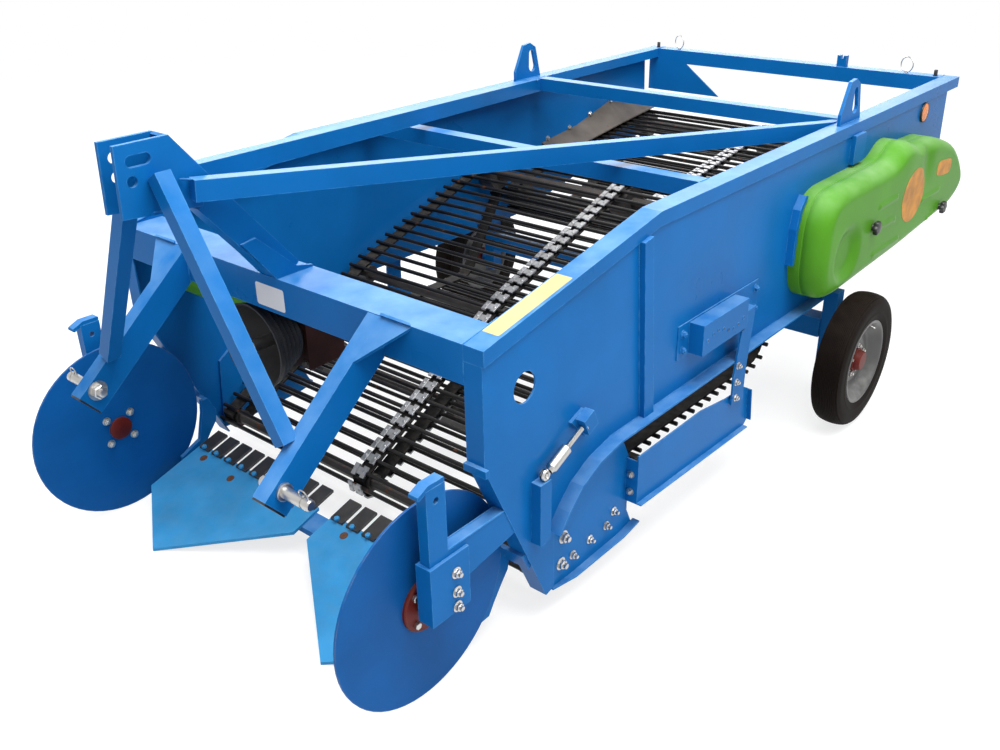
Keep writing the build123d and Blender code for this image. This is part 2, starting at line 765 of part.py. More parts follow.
# Drive: gearbox behind the front beam, its input shaft, and the guarded cross shaft to the right wall
gearbox_half = gearbox_width / 2
gearbox_right = gearbox_x - gearbox_half
gearbox_left = gearbox_x + gearbox_half
gearbox = box(gearbox_right, gearbox_left, beam_depth, gearbox_rear, gearbox_foot, gearbox_top)
pto = extrude(Plane.XZ.offset(-beam_depth) * Pos(gearbox_x, pto_z) * Circle(pto_radius), amount=beam_depth)
cross_length = wall_inner + gearbox_x - gearbox_half - 2 * fit
cross_guard = turned(fit - wall_inner, 190, pto_z + 20, [(0, 62), (30, 52), (cross_length, 52)], roller_sides)

# Pieces that sit on both sides and belong to the frame share a node
paired = {
    "top_rails": top_rail,
    "hitch_legs": hitch_leg,
    "lower_pins": lower_pin,
    "mast_braces": brace,
    "struts": strut,
    "share_legs": share_leg,
    "lifting_fingers": fingers,
    "share_holders": share_holder,
    "wheel_posts": post,
    "post_brackets": post_bracket,
    "adjusters": Part() + adjuster + lever + anchor,
    "turnbuckles": turnbuckle,
    "side_skirts": skirt,
    "crop_deflectors": crop_strip,
    "lifting_lugs": lug,
}
for name, solid in paired.items():
    parts[name] = Part() + solid + other_side(solid)

# Pieces that turn or that are told apart by their side keep a node each
sided = {
    "side_wall": side_wall,
    "share": share,
    "coulter_disc": disc,
    "coulter_hub": hub,
    "coulter_holder": stem + clamp + arm + spindle,
    "tyre": tyre,
    "rim": rim,
    "wheel_hub": wheel_hub,
}
for name, solid in sided.items():
    parts[f"{name}_left"] = solid
    parts[f"{name}_right"] = other_side(solid)
parts["side_wall_left"] += guard_flange

parts["front_beam"] = front_beam
parts["cross_tubes"] = Part() + second_tube + middle_tube
parts["rear_beam"] = rear_beam
parts["mast_plates"] = left_plate + right_plate
parts["mast_post"] = mast_post + post_rib + other_side(post_rib)
parts["share_bar"] = share_bar
parts["axle_beam"] = axle
parts["belt_guard"] = guard
parts["guard_knobs"] = knobs
parts["gearbox"] = gearbox
parts["pto_shaft"] = pto
parts["cross_shaft_guard"] = cross_guard
for name, rollers in shafts.items():
    carried = Part()
    for y, z, radius, side, shaft_end in rollers:
        if not shaft_end:
            continue
        drum = radius - inner_gap if side > 0 else radius - outer_gap
        roller_sections = [(-roller_half_width, drum), (roller_half_width, drum)]
        for centre in (-belt_x, 0, belt_x):
            carried += turned(centre, y, z, roller_sections, roller_sides)
        carried += turned(0, y, z, [(-shaft_end, shaft_radius), (shaft_end, shaft_radius)], 8)
    parts[name] = carried
for web, rollers in {"front_web": front_rollers, "rear_web": rear_rollers}.items():
    parts[f"{web}_rods"] = web_rods(rollers)
    parts[f"{web}_links"] = web_links(rollers)
    parts[f"{web}_belts"] = web_belts(rollers)

# The origin moves to the middle of the machine's length
middle_y = (disc_y - disc_radius + frame_length) / 2

os.makedirs("parts", exist_ok=True)
for name, solid in parts.items():
    export_step(Pos(0, -middle_y, 0) * solid, f"parts/{name}.step")
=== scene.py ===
from math import atan2, cos, hypot, pi, radians, sin, sqrt

import bmesh
import bpy
import numpy as np
from mathutils import Matrix, Vector
from mathutils.geometry import delaunay_2d_cdt


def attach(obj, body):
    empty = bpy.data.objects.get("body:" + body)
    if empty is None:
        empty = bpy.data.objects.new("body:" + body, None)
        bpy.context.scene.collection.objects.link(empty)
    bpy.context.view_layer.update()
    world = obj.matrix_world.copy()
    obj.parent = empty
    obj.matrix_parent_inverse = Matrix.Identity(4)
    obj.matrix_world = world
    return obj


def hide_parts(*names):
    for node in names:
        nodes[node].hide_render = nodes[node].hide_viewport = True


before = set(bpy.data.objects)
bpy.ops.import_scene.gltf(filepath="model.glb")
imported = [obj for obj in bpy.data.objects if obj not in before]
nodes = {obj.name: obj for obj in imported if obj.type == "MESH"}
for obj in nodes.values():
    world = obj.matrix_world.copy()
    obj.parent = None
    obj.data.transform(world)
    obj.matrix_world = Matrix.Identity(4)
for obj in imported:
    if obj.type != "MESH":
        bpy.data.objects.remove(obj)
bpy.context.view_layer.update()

# Where the picture is taken from. The camera stands in front of the left corner, a little above
# head height, and looks back and down along the machine.
eye = Vector((2.0013, -2.6947, 1.7948))
yaw = radians(40.69)
pitch = radians(-26.75)
roll = radians(-1.085)
focal_pixels = 999.05
frame_pixels = 1000
sensor = 36.0
ahead = Vector((-sin(yaw) * cos(pitch), cos(yaw) * cos(pitch), sin(pitch)))
level = Vector((cos(yaw), sin(yaw), 0.0))
upward = level.cross(ahead)
right = cos(roll) * level + sin(roll) * upward
upward = -sin(roll) * level + cos(roll) * upward
camera_data = bpy.data.cameras.new("camera")
camera_data.sensor_width = sensor
camera_data.lens = focal_pixels * sensor / frame_pixels
camera = bpy.data.objects.new("camera", camera_data)
turn = Matrix((right, upward, -ahead)).transposed().to_4x4()
camera.matrix_world = Matrix.Translation(eye) @ turn
scene = bpy.context.scene
scene.collection.objects.link(camera)
scene.camera = camera

# The studio: soft light from all round, a wide low lamp behind the machine that lies as a pale sheen
# on every upper face, a lamp above and one on the left, and a white floor that keeps the shadow.
scene.view_settings.view_transform = "Standard"


def feed(tree, socket, value):
    """Sets a socket, or links it when the value comes from another node."""
    if isinstance(value, bpy.types.NodeSocket):
        tree.links.new(value, socket)
    elif isinstance(value, (tuple, list)) and len(value) == 3 and socket.type == "RGBA":
        socket.default_value = (*value, 1.0)
    else:
        socket.default_value = value


def part_of(tree, kind, inputs=None, **settings):
    """A node with its settings, and its inputs set or linked by name or number."""
    made = tree.nodes.new(kind)
    for label, value in settings.items():
        setattr(made, label, value)
    for label, value in (inputs or {}).items():
        feed(tree, made.inputs[label], value)
    return made


def calc(tree, operation, first, second=0.0, clamp=False):
    """One step of arithmetic on masks and numbers."""
    made = part_of(tree, "ShaderNodeMath", {0: first, 1: second}, operation=operation, use_clamp=clamp)
    return made.outputs[0]


def seen_rays(tree):
    """1 where the background itself is seen: by the camera, in a gloss or through glass."""
    rays = part_of(tree, "ShaderNodeLightPath").outputs
    seen = calc(tree, "ADD", rays["Is Camera Ray"], rays["Is Glossy Ray"])
    return calc(tree, "ADD", seen, rays["Is Transmission Ray"], clamp=True)


world = bpy.data.worlds.new("studio")
scene.world = world
world.use_nodes = True
tree = world.node_tree
tree.nodes.clear()
soft = part_of(tree, "ShaderNodeBackground", {"Color": (0.95, 0.97, 1.0), "Strength": 0.66})
white = part_of(tree, "ShaderNodeBackground", {"Color": (1.0, 1.0, 1.0), "Strength": 1.0})
pick = part_of(tree, "ShaderNodeMixShader", {0: seen_rays(tree), 1: soft.outputs[0], 2: white.outputs[0]})
part_of(tree, "ShaderNodeOutputWorld", {"Surface": pick.outputs[0]})


def lamp(name, place, aim, width, height, power):
    """A soft rectangular lamp turned towards a point."""
    data = bpy.data.lights.new(name, "AREA")
    data.shape = "RECTANGLE"
    data.size = width
    data.size_y = height
    data.energy = power
    held = bpy.data.objects.new(name, data)
    held.location = place
    held.rotation_euler = (Vector(aim) - Vector(place)).to_track_quat("-Z", "Y").to_euler()
    scene.collection.objects.link(held)


lamp("lamp_behind", (-4.0, 5.0, 3.3), (0, 0, 0.6), 7.5, 3.4, 330)
lamp("lamp_over", (1.2, -0.9, 5.4), (0, -0.5, 0.4), 4.0, 4.0, 460)
lamp("lamp_left", (4.6, -0.3, 4.4), (-0.4, 0, 0.6), 3.0, 2.0, 50)

half_floor = 40.0
glow_share = 0.64
fade = {"From Min": 3.0, "From Max": 9.0}
floor_mesh = bpy.data.meshes.new("floor")
floor_corners = [(-half_floor, -half_floor, 0), (half_floor, -half_floor, 0), (half_floor, half_floor, 0),
                 (-half_floor, half_floor, 0)]
floor_mesh.from_pydata(floor_corners, [], [(0, 1, 2, 3)])
floor = bpy.data.objects.new("floor", floor_mesh)
scene.collection.objects.link(floor)
paper = bpy.data.materials.new("paper")
paper.use_nodes = True
tree = paper.node_tree
tree.nodes.clear()
pale = part_of(tree, "ShaderNodeBsdfDiffuse", {"Color": (0.88, 0.88, 0.88)})
glow = part_of(tree, "ShaderNodeEmission", {"Color": (1.0, 1.0, 1.0), "Strength": 1.18})
shadowed = part_of(tree, "ShaderNodeMixShader", {0: glow_share, 1: pale.outputs[0], 2: glow.outputs[0]})
on_floor = part_of(tree, "ShaderNodeTexCoord").outputs["Object"]
from_middle = part_of(tree, "ShaderNodeVectorMath", {0: on_floor}, operation="LENGTH").outputs["Value"]
farness = part_of(tree, "ShaderNodeMapRange", {"Value": from_middle, **fade},
                  interpolation_type="SMOOTHSTEP").outputs[0]
plain = part_of(tree, "ShaderNodeEmission", {"Color": (1.0, 1.0, 1.0), "Strength": 1.0})
shown = part_of(tree, "ShaderNodeMixShader", {0: farness, 1: shadowed.outputs[0], 2: plain.outputs[0]})
matt = part_of(tree, "ShaderNodeBsdfDiffuse", {"Color": (0.62, 0.62, 0.62)})
pick = part_of(tree, "ShaderNodeMixShader", {0: seen_rays(tree), 1: matt.outputs[0], 2: shown.outputs[0]})
part_of(tree, "ShaderNodeOutputMaterial", {"Surface": pick.outputs[0]})
floor_mesh.materials.append(paper)


# Frame: box-section top rails and beams welded to sheet side walls, all sprayed in one blue. The paint
# is a little uneven and thin on the edges, where a lighter blue is also a painted highlight, and its upper
# faces carry a painted pale sheen of light from above.
def spread(tree, value, low, high):
    """Stretches a mask so that low becomes 0 and high becomes 1."""
    made = part_of(tree, "ShaderNodeMapRange", {"Value": value, "From Min": low, "From Max": high})
    return made.outputs[0]


def cloud(tree, place, scale, detail=3.0, size=None):
    """A noise mask over the object's own coordinates; a size socket multiplies its scale."""
    if size is not None:
        scale = calc(tree, "MULTIPLY", size, scale)
    made = part_of(tree, "ShaderNodeTexNoise", {"Vector": place, "Scale": scale, "Detail": detail})
    return made.outputs[0]


def blended(tree, share, first, second):
    """Two colours mixed by a mask."""
    made = part_of(tree, "ShaderNodeMix", {0: share, 6: first, 7: second}, data_type="RGBA")
    return made.outputs[2]


def effect(name, inputs, outputs):
    """An empty shader group with number inputs and number outputs."""
    made = bpy.data.node_groups.new(name, "ShaderNodeTree")
    for label, value in inputs.items():
        socket = made.interface.new_socket(label, in_out="INPUT", socket_type="NodeSocketFloat")
        socket.default_value = value
    for label in outputs:
        made.interface.new_socket(label, in_out="OUTPUT", socket_type="NodeSocketFloat")
    return made, made.nodes.new("NodeGroupInput").outputs, made.nodes.new("NodeGroupOutput").inputs


# Edges: a mask along the bevelled edges. Some materials show bare wear there, others a lighter tone that is a
# painted highlight.
edge_wear_and_highlight, given, put = effect("edge_wear_and_highlight", {"Width": 0.003, "Patches": 40.0}, ["Mask"])
bevel = part_of(edge_wear_and_highlight, "ShaderNodeBevel", {"Radius": given["Width"]}, samples=4)
geometry = part_of(edge_wear_and_highlight, "ShaderNodeNewGeometry")
facing = part_of(edge_wear_and_highlight, "ShaderNodeVectorMath", {0: bevel.outputs[0], 1: geometry.outputs["Normal"]},
                 operation="DOT_PRODUCT").outputs["Value"]
rim = spread(edge_wear_and_highlight, calc(edge_wear_and_highlight, "SUBTRACT", 1.0, facing), 0.004, 0.1)
place = part_of(edge_wear_and_highlight, "ShaderNodeTexCoord").outputs["Object"]
patches = spread(edge_wear_and_highlight, cloud(edge_wear_and_highlight, place, given["Patches"]), 0.36, 0.6)
feed(edge_wear_and_highlight, put["Mask"], calc(edge_wear_and_highlight, "MULTIPLY", rim, patches, clamp=True))

# Marks: a random blotch, a fine grain, and a mask on upward faces that some materials fill with dust and
# others with a painted sheen of light from above.
marks, given, put = effect("surface_marks", {"Size": 1.0}, ["Blotch", "Dust and Sheen", "Grain"])
place = part_of(marks, "ShaderNodeTexCoord").outputs["Object"]
size = given["Size"]
feed(marks, put["Blotch"], spread(marks, cloud(marks, place, 3.5, 5.0, size), 0.3, 0.7))
upright = part_of(marks, "ShaderNodeNewGeometry").outputs["Normal"]
upness = part_of(marks, "ShaderNodeSeparateXYZ", {0: upright}).outputs["Z"]
dust_and_sheen_patches = spread(marks, cloud(marks, place, 11.0, 5.0, size), 0.25, 0.75)
feed(marks, put["Dust and Sheen"], calc(marks, "MULTIPLY", spread(marks, upness, 0.2, 1.0), dust_and_sheen_patches))
feed(marks, put["Grain"], cloud(marks, place, 420.0, 3.0, size))

rust, given, put = effect("rust_patches", {"Size": 1.0, "Cover": 0.3}, ["Mask", "Tone"])
place = part_of(rust, "ShaderNodeTexCoord").outputs["Object"]
size = given["Size"]
start = calc(rust, "SUBTRACT", 0.78, calc(rust, "MULTIPLY", given["Cover"], 0.55))
wide = cloud(rust, place, 14.0, 6.0, size)
feed(rust, put["Mask"], spread(rust, wide, start, calc(rust, "ADD", start, 0.1)))
feed(rust, put["Tone"], cloud(rust, place, 130.0, 3.0, size))

rust_dark = (0.055, 0.018, 0.008)
rust_light = (0.21, 0.07, 0.022)


def finish(name, colour, rough=0.4, metal=0.0, gloss=0.5, uneven=0.12, size=1.0, edge=None, dust_and_sheen=None,
           rusty=0.0, grain=0.00004):
    """A material: its colour varies a little and rust lies on it; its edges and upper faces take colours of
    their own, which are wear and dust on some materials and a painted highlight and sheen on others.
    """
    made = bpy.data.materials.new(name)
    made.use_nodes = True
    tree = made.node_tree
    shader = tree.nodes["Principled BSDF"]
    shader.inputs["Metallic"].default_value = metal
    shader.inputs["Specular IOR Level"].default_value = gloss
    marks_and_sheen = part_of(tree, "ShaderNodeGroup", node_tree=marks)
    marks_and_sheen.inputs["Size"].default_value = size
    shade = tuple(c * (1 - uneven) for c in colour)
    tint = tuple(min(c * (1 + uneven), 1.0) for c in colour)
    shown = blended(tree, marks_and_sheen.outputs["Blotch"], shade, tint)
    roughness = calc(tree, "ADD", rough, calc(tree, "MULTIPLY", marks_and_sheen.outputs["Blotch"], 0.08))
    height = marks_and_sheen.outputs["Grain"]
    if edge:
        edge_colour, strength, width = edge
        rubbed_and_highlit = part_of(tree, "ShaderNodeGroup", node_tree=edge_wear_and_highlight)
        rubbed_and_highlit.inputs["Width"].default_value = width
        shown = blended(tree, calc(tree, "MULTIPLY", rubbed_and_highlit.outputs["Mask"], strength), shown, edge_colour)
    if dust_and_sheen:
        dust_and_sheen_colour, strength = dust_and_sheen
        dust_and_sheen_share = calc(tree, "MULTIPLY", marks_and_sheen.outputs["Dust and Sheen"], strength)
        shown = blended(tree, dust_and_sheen_share, shown, dust_and_sheen_colour)
        roughness = calc(tree, "ADD", roughness, calc(tree, "MULTIPLY", dust_and_sheen_share, 0.5))
    if rusty:
        eaten = part_of(tree, "ShaderNodeGroup", node_tree=rust)
        eaten.inputs["Size"].default_value = size
        eaten.inputs["Cover"].default_value = rusty
        rust_colour = blended(tree, eaten.outputs["Tone"], rust_dark, rust_light)
        shown = blended(tree, eaten.outputs["Mask"], shown, rust_colour)
        roughness = calc(tree, "ADD", roughness, calc(tree, "MULTIPLY", eaten.outputs["Mask"], 0.35))
        crust = calc(tree, "MULTIPLY", eaten.outputs["Tone"], eaten.outputs["Mask"])
        height = calc(tree, "ADD", height, crust)
    raised = part_of(tree, "ShaderNodeBump", {"Height": height, "Distance": grain, "Strength": 1.0})
    feed(tree, shader.inputs["Base Color"], shown)
    feed(tree, shader.inputs["Roughness"], roughness)
    feed(tree, shader.inputs["Normal"], raised.outputs[0])
    return made


def dress(material, *names):
    """Gives CAD nodes their finished material."""
    for name in names:
        nodes[name].data.materials.clear()
        nodes[name].data.materials.append(material)


# The lighter blue on painted edges is partly worn paint and partly a painted highlight where the edges catch
# the light.
worn_and_highlight_blue = (0.10, 0.36, 0.66)
road_dust = (0.30, 0.36, 0.40)
# The pale blue laid on the paint's upper faces is painted light: a sheen from above.
blue_paint = finish("blue_paint", (0.004, 0.125, 0.385), rough=0.27, gloss=0.07, uneven=0.10,
                    edge=(worn_and_highlight_blue, 0.45, 0.004), dust_and_sheen=((0.40, 0.62, 0.80), 0.28), grain=0.00003)
dress(blue_paint, "side_wall_left", "side_wall_right", "top_rails", "front_beam", "cross_tubes", "rear_beam")

beam_to_middle = 1263.0


def spot(x, y, z):
    """A place given in millimetres from the middle plane, the front beam's face and the floor."""
    return Vector((x, y - beam_to_middle, z)) / 1000


def piece(name, built, material, body="frame", sharp=40.0, replaced=()):
    """Turns a built shape into a piece that rides on a body."""
    mesh = bpy.data.meshes.new(name)
    built.normal_update()
    built.to_mesh(mesh)
    built.free()
    mesh.materials.append(material)
    mesh.shade_smooth()
    mesh.set_sharp_from_angle(angle=radians(sharp))
    made = bpy.data.objects.new(name, mesh)
    scene.collection.objects.link(made)
    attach(made, body)
    if replaced:
        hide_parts(*replaced)
    return made


def around(count, start=0.0):
    """Even angles once round a circle."""
    return [start + 2 * pi * k / count for k in range(count)]


def skin(built, rings):
    """Faces from each ring of vertices to the next; a ring of one vertex makes a point."""
    for first, second in zip(rings, rings[1:]):
        sides = max(len(first), len(second))
        for k in range(sides):
            after = (k + 1) % sides
            corners = [first[k % len(first)], first[after % len(first)],
                       second[after % len(second)], second[k % len(second)]]
            corners = list(dict.fromkeys(corners))
            if len(corners) > 2:
                built.faces.new(corners)


def lathe(built, centre, axis, profile, sides=48, tilt=0.0):
    """Turns a profile of (distance along the axis, radius) about a line; both are in millimetres."""
    turned = Vector(axis).to_track_quat("Z", "Y")
    origin = spot(*centre)
    rings = []
    for along, radius in profile:
        points = [(radius * cos(a), radius * sin(a), along) for a in around(sides, tilt)]
        if radius <= 0:
            points = [(0, 0, along)]
        rings.append([built.verts.new(origin + turned @ (Vector(point) / 1000)) for point in points])
    skin(built, rings)
    return rings


ripple_pitch = 0.0035
bead_sides = 6


def welds(name, runs, radius=2.6):
    """Beads of weld along each run and its mirror image; their ripples follow each other."""
    beads = bmesh.new()
    for side in (1, -1):
        for start, end in runs:
            start = (side * start[0], *start[1:])
            run = spot(side * end[0], *end[1:]) - spot(*start)
            count = max(int(run.length / ripple_pitch), 2)
            profile = []
            for step in range(count + 1):
                swell = radius * (0.8 + 0.3 * abs(sin(step * 1.3)))
                if step in (0, count):
                    swell *= 0.5
                profile.append((run.length * 1000 * step / count, swell))
            lathe(beads, start, run, profile, bead_sides)
    piece(name, beads, blue_paint)


rail_inside, wall_inside, wall_outside = 665, 714, 719
rail_top, rail_foot, front_top = 1018, 968, 884
welds("frame_welds", [
    ((rail_inside, 0, front_top), (rail_inside, 120, 906)),
    ((rail_inside, 2894, rail_top), (rail_inside, 2954, rail_top)),
    ((rail_inside, 1949, rail_top), (rail_inside, 1999, rail_top)),
    ((rail_inside, 985, rail_top), (rail_inside, 1035, rail_top)),
    ((rail_inside, 985, rail_foot), (rail_inside, 985, rail_top)),
    ((rail_inside, 1949, rail_foot), (rail_inside, 1949, rail_top)),
    ((wall_outside, 601, 976), (wall_outside, 645, 446)),
    ((wall_outside, 639, 976), (wall_outside, 691, 446)),
    ((wall_outside, 1905, 976), (wall_outside, 1905, 884)),
    ((690, 1837, 1019), (690, 1995, 1019)),
    ((702, 1837, 1019), (702, 1995, 1019)),
    ((412, -1, 878), (412, -1, 800)),
    ((367, -1, 878), (367, -1, 800)),
    ((rail_inside, 1, 790), (rail_inside, 1, 845)),
    ((wall_inside, 262, 90), (wall_inside, 262, 300)),
    ((wall_outside, 500, 444), (wall_outside, 1480, 444)),
])

# Blank labels: a small white plate on the front beam and a pale yellow strip along the left rail,
# both of printed film in life and bare here.
white_film = finish("white_film", (0.66, 0.66, 0.68), rough=0.4, gloss=0.1, uneven=0.05,
                    dust_and_sheen=(road_dust, 0.3))
yellow_film = finish("yellow_film", (0.50, 0.43, 0.19), rough=0.5, gloss=0.03, uneven=0.08,
                     dust_and_sheen=((0.46, 0.44, 0.36), 0.25))
film_thickness = 0.5
rail_slope = (rail_top - front_top) / 695


def plate(built, corners, away):
    """A thin plate: its corners in order, and how far its other face lies from them."""
    away = Vector(away) / 1000
    near = [built.verts.new(spot(*corner)) for corner in corners]
    far = [built.verts.new(vert.co + away) for vert in near]
    built.faces.new(near[::-1])
    built.faces.new(far)
    skin(built, (near, far))


def rounded(x0, x1, z0, z1, radius, steps=5):
    """Corners of a rounded rectangle in two directions."""
    middles = [(x1 - radius, z0 + radius), (x1 - radius, z1 - radius), (x0 + radius, z1 - radius),
               (x0 + radius, z0 + radius)]
    points = []
    for quarter, (x, z) in enumerate(middles):
        for k in range(steps + 1):
            a = radians(90 * (quarter - 1) + 90 * k / steps)
            points.append((x + radius * cos(a), z + radius * sin(a)))
    return points


label = bmesh.new()
plate(label, [(x, -0.05, z) for x, z in rounded(-62, 52, 795, 857, 7)], (0, -film_thickness, 0))
piece("beam_label", label, white_film)
label = bmesh.new()
strip = [(x, y, front_top + y * rail_slope + 0.1) for x, y in rounded(668, 716, 60, 330, 4)]
plate(label, strip, (0, 0, film_thickness))
bmesh.ops.reverse_faces(label, faces=label.faces)
piece("rail_label", label, yellow_film)

# Mast, braces and struts: flame-cut plates and box tubes welded up to take the tractor's top link.
# They are sprayed with the frame, welds and all.
dress(blue_paint, "mast_plates", "mast_post", "mast_braces", "struts")
welds("mast_welds", [
    ((36, -308, 1136), (36, -221, 1126)),
    ((26, -90, 1000), (26, 60, 905)),
    ((66, -215, 1195), (38, -232, 1195)),
    ((26, 0, 885), (26, 116, 885)),
    ((627, 1900, rail_top), (664, 1935, rail_top)),
])

# Hitch legs: square tubes that carry the lower linkage pins, which are turned, plated and held by nuts
# inside the legs. A ring pin stays in each cross hole, and a thin black plate at each leg's end is painted
# shade for the dark open tube.
dress(blue_paint, "hitch_legs")
steel = finish("plated_steel", (0.52, 0.51, 0.49), rough=0.26, metal=1.0, uneven=0.12, size=3.0, rusty=0.12,
               dust_and_sheen=(road_dust, 0.12))


def hoop(built, centre, axis, radius, wire, sides=28):
    """A ring of round wire about an axis."""
    turned = Vector(axis).to_track_quat("Z", "Y")
    origin = spot(*centre)
    rings = []
    for a in around(sides):
        outward = Vector((cos(a), sin(a), 0))
        section = [outward * (radius + wire * cos(b)) - Vector((0, 0, wire * sin(b))) for b in around(6)]
        rings.append([built.verts.new(origin + turned @ (point / 1000)) for point in section])
    skin(built, rings + rings[:1])


pin_y, pin_z = -330, 572
ring_pin_x = 484
pin_profile = [(0, 0), (0, 22), (7, 22), (8, 20), (8, 14), (70, 14), (70.5, 12.6), (76, 12.6), (76.5, 14),
               (91, 14), (95, 10.5), (95, 0)]
pins = bmesh.new()
for side in (1, -1):
    lathe(pins, (side * 412.6, pin_y, pin_z), (side, 0, 0), pin_profile)
    hoop(pins, (side * ring_pin_x, pin_y, pin_z + 18), (0, 1, 0.2), 15, 1.6)
    lathe(pins, (side * ring_pin_x, pin_y, pin_z - 19), (0, 0, 1), [(0, 0), (0, 3), (38, 3), (38, 0)], 12)
piece("linkage_pins", pins, steel, replaced=("lower_pins",))


washer_thickness = 2.0


def bolt(built, centre, axis, across, washer=True, stub=0.0, tilt=0.0):
    """A hexagon head or nut on its washer, with the thread's end standing out of a nut."""
    corner = across / sqrt(3)
    base = 0.0
    if washer:
        base = washer_thickness
        rim, top = across * 0.78, base + 0.3
        lathe(built, centre, axis, [(0, 0), (0, rim), (base, rim), (top, across * 0.7), (top, 0)], 20)
    height = across * 0.5
    shoulder = base + height * 0.85
    top = base + height
    head = lathe(built, centre, axis, [(base, corner), (shoulder, corner), (top, corner * 0.86)], 6, tilt)
    built.faces.new(head[-1])
    if stub:
        thread = across * 0.32
        end = top + stub
        thread_end = [(top - 1, thread), (end - 1, thread), (end, across * 0.25), (end, 0)]
        lathe(built, centre, axis, thread_end, 12)


bolts = bmesh.new()
for side in (1, -1):
    bolt(bolts, (side * 367.5, pin_y, pin_z), (-side, 0, 0), 36, stub=10, tilt=0.3)
piece("leg_nuts", bolts, steel)
black_plastic = finish("black_plastic", (0.012, 0.012, 0.013), rough=0.35, gloss=0.5, uneven=0.3, size=8.0,
                       dust_and_sheen=((0.2, 0.2, 0.2), 0.15))
# Each leg's end gets a thin black plate: painted shade that stands for the dark inside of the open tube.
leg_along = Vector((0, -0.7695, -0.6386))
leg_across = Vector((0, 0.6386, -0.7695))
end_shade_thickness = 5
leg_end_shade = bmesh.new()
for side in (1, -1):
    leg_end = Vector((side * 390, -356.5, 536.2))
    rim_corners = [leg_end + Vector((x, 0, 0)) + leg_across * t for x, t in rounded(-22, 22, -39.5, 39.5, 4)]
    plate(leg_end_shade, rim_corners, leg_along * end_shade_thickness)
bmesh.ops.recalc_face_normals(leg_end_shade, faces=leg_end_shade.faces)
piece("leg_end_shade_plates", leg_end_shade, black_plastic)

# Shares: pointed hardened plates bolted to the bar between the walls, with short lifting fingers behind
# them. They are painted lighter than the frame, and their edges are lighter still: partly worn paint, partly
# a painted highlight.
share_paint = finish("share_paint", (0.034, 0.270, 0.560), rough=0.28, gloss=0.12, uneven=0.16, size=2.0,
                     edge=(worn_and_highlight_blue, 0.6, 0.005), dust_and_sheen=(road_dust, 0.12), rusty=0.02)
dress(share_paint, "share_left", "share_right")
dress(blue_paint, "share_bar", "share_legs", "share_holders")
black_steel = finish("black_steel", (0.016, 0.015, 0.015), rough=0.38, gloss=0.6, uneven=0.3, size=3.0,
                     edge=((0.25, 0.24, 0.23), 0.5, 0.003), dust_and_sheen=((0.12, 0.10, 0.08), 0.18), rusty=0.1)
dress(black_steel, "lifting_fingers")
share_slope = radians(15.9)
share_tip_y, share_tip_z = -266.0, 10.0


def on_share(x, y, lift=0.0):
    """A place on the shares' upper face, or a height over it."""
    rise = share_tip_z + (y - share_tip_y) * sin(share_slope) / cos(share_slope)
    return (x, y - lift * sin(share_slope), rise + lift * cos(share_slope))


rusty_steel = finish("rusty_bolts", (0.12, 0.055, 0.03), rough=0.6, gloss=0.3, uneven=0.4, size=6.0,
                     rusty=0.6)
off_share = (0, -sin(share_slope), cos(share_slope))
flat_head = [(0, 0), (0, 13), (1.6, 12), (2.6, 7), (2.8, 0)]
square_neck = [(0, 0), (0, 5.5), (1.2, 5), (1.2, 0)]
bolts = bmesh.new()
for side in (1, -1):
    for x, y in ((120, 56), (395, 40), (560, 56)):
        lathe(bolts, on_share(side * x, y), off_share, flat_head, 20)
        lathe(bolts, on_share(side * x, y, 2.6), off_share, square_neck, 4)
piece("share_bolts", bolts, rusty_steel)
first_finger, finger_pitch, finger_count = 62, 66, 9
bolts = bmesh.new()
for side in (1, -1):
    for number in range(finger_count):
        x = side * (first_finger + finger_pitch * number)
        bolt(bolts, on_share(x, 86, 8), off_share, 15, washer=False, tilt=number * 0.7)
piece("finger_bolts", bolts, share_paint)

# Lips along the share holders' lower edges: the plate is folded outwards below the bolts, narrow at the
# toe and wider towards the back, and sprayed with the frame.
holder_face = 714.0
lip_thickness = 5.0
lip_rows = [(258, 83.5, 7), (346, 80, 20), (569, 84, 23), (648, 97, 23)]
lips = bmesh.new()
for side in (1, -1):
    rows = []
    for y, low, reach in lip_rows:
        inner, outer, high = side * (holder_face - 0.1), side * (holder_face + reach), low + lip_thickness
        corners = [(inner, low), (outer, low), (outer, high), (inner, high)]
        rows.append([lips.verts.new(spot(x, y, z)) for x, z in corners])
    lips.faces.new(rows[0])
    lips.faces.new(rows[-1])
    skin(lips, rows)
bmesh.ops.recalc_face_normals(lips, faces=lips.faces)
piece("holder_lips", lips, blue_paint)

# Coulters: flat discs that cut the ridge's sides, on red cast hubs with four bolts each. A stem with a
# folded head plate stands in a bolted strap, and the arm behind it is welded to the side wall.
steel_edge = (0.20, 0.24, 0.27)
disc_paint = finish("disc_paint", (0.004, 0.088, 0.300), rough=0.33, gloss=0.07, uneven=0.12, size=1.6,
                    edge=(steel_edge, 0.5, 0.004), dust_and_sheen=(road_dust, 0.08))
dress(disc_paint, "coulter_disc_left", "coulter_disc_right")
dress(blue_paint, "coulter_holder_left", "coulter_holder_right")
hub_red = finish("hub_red", (0.10, 0.009, 0.006), rough=0.42, gloss=0.2, uneven=0.3, size=5.0,
                 edge=((0.24, 0.07, 0.04), 0.4, 0.003), dust_and_sheen=((0.14, 0.09, 0.07), 0.25), rusty=0.12)
disc_y, disc_z = -153.0, 277.0
hub_outside, hub_inside = 657, 651
outer_casting = [(0, 15.5), (0, 74), (7, 74), (10, 71), (10, 42), (13, 35), (28, 30), (30, 28), (30, 15.5)]
inner_casting = [(0, 20), (0, 36), (5, 36), (7, 33), (7, 0)]
disc_bolt_circle = 56
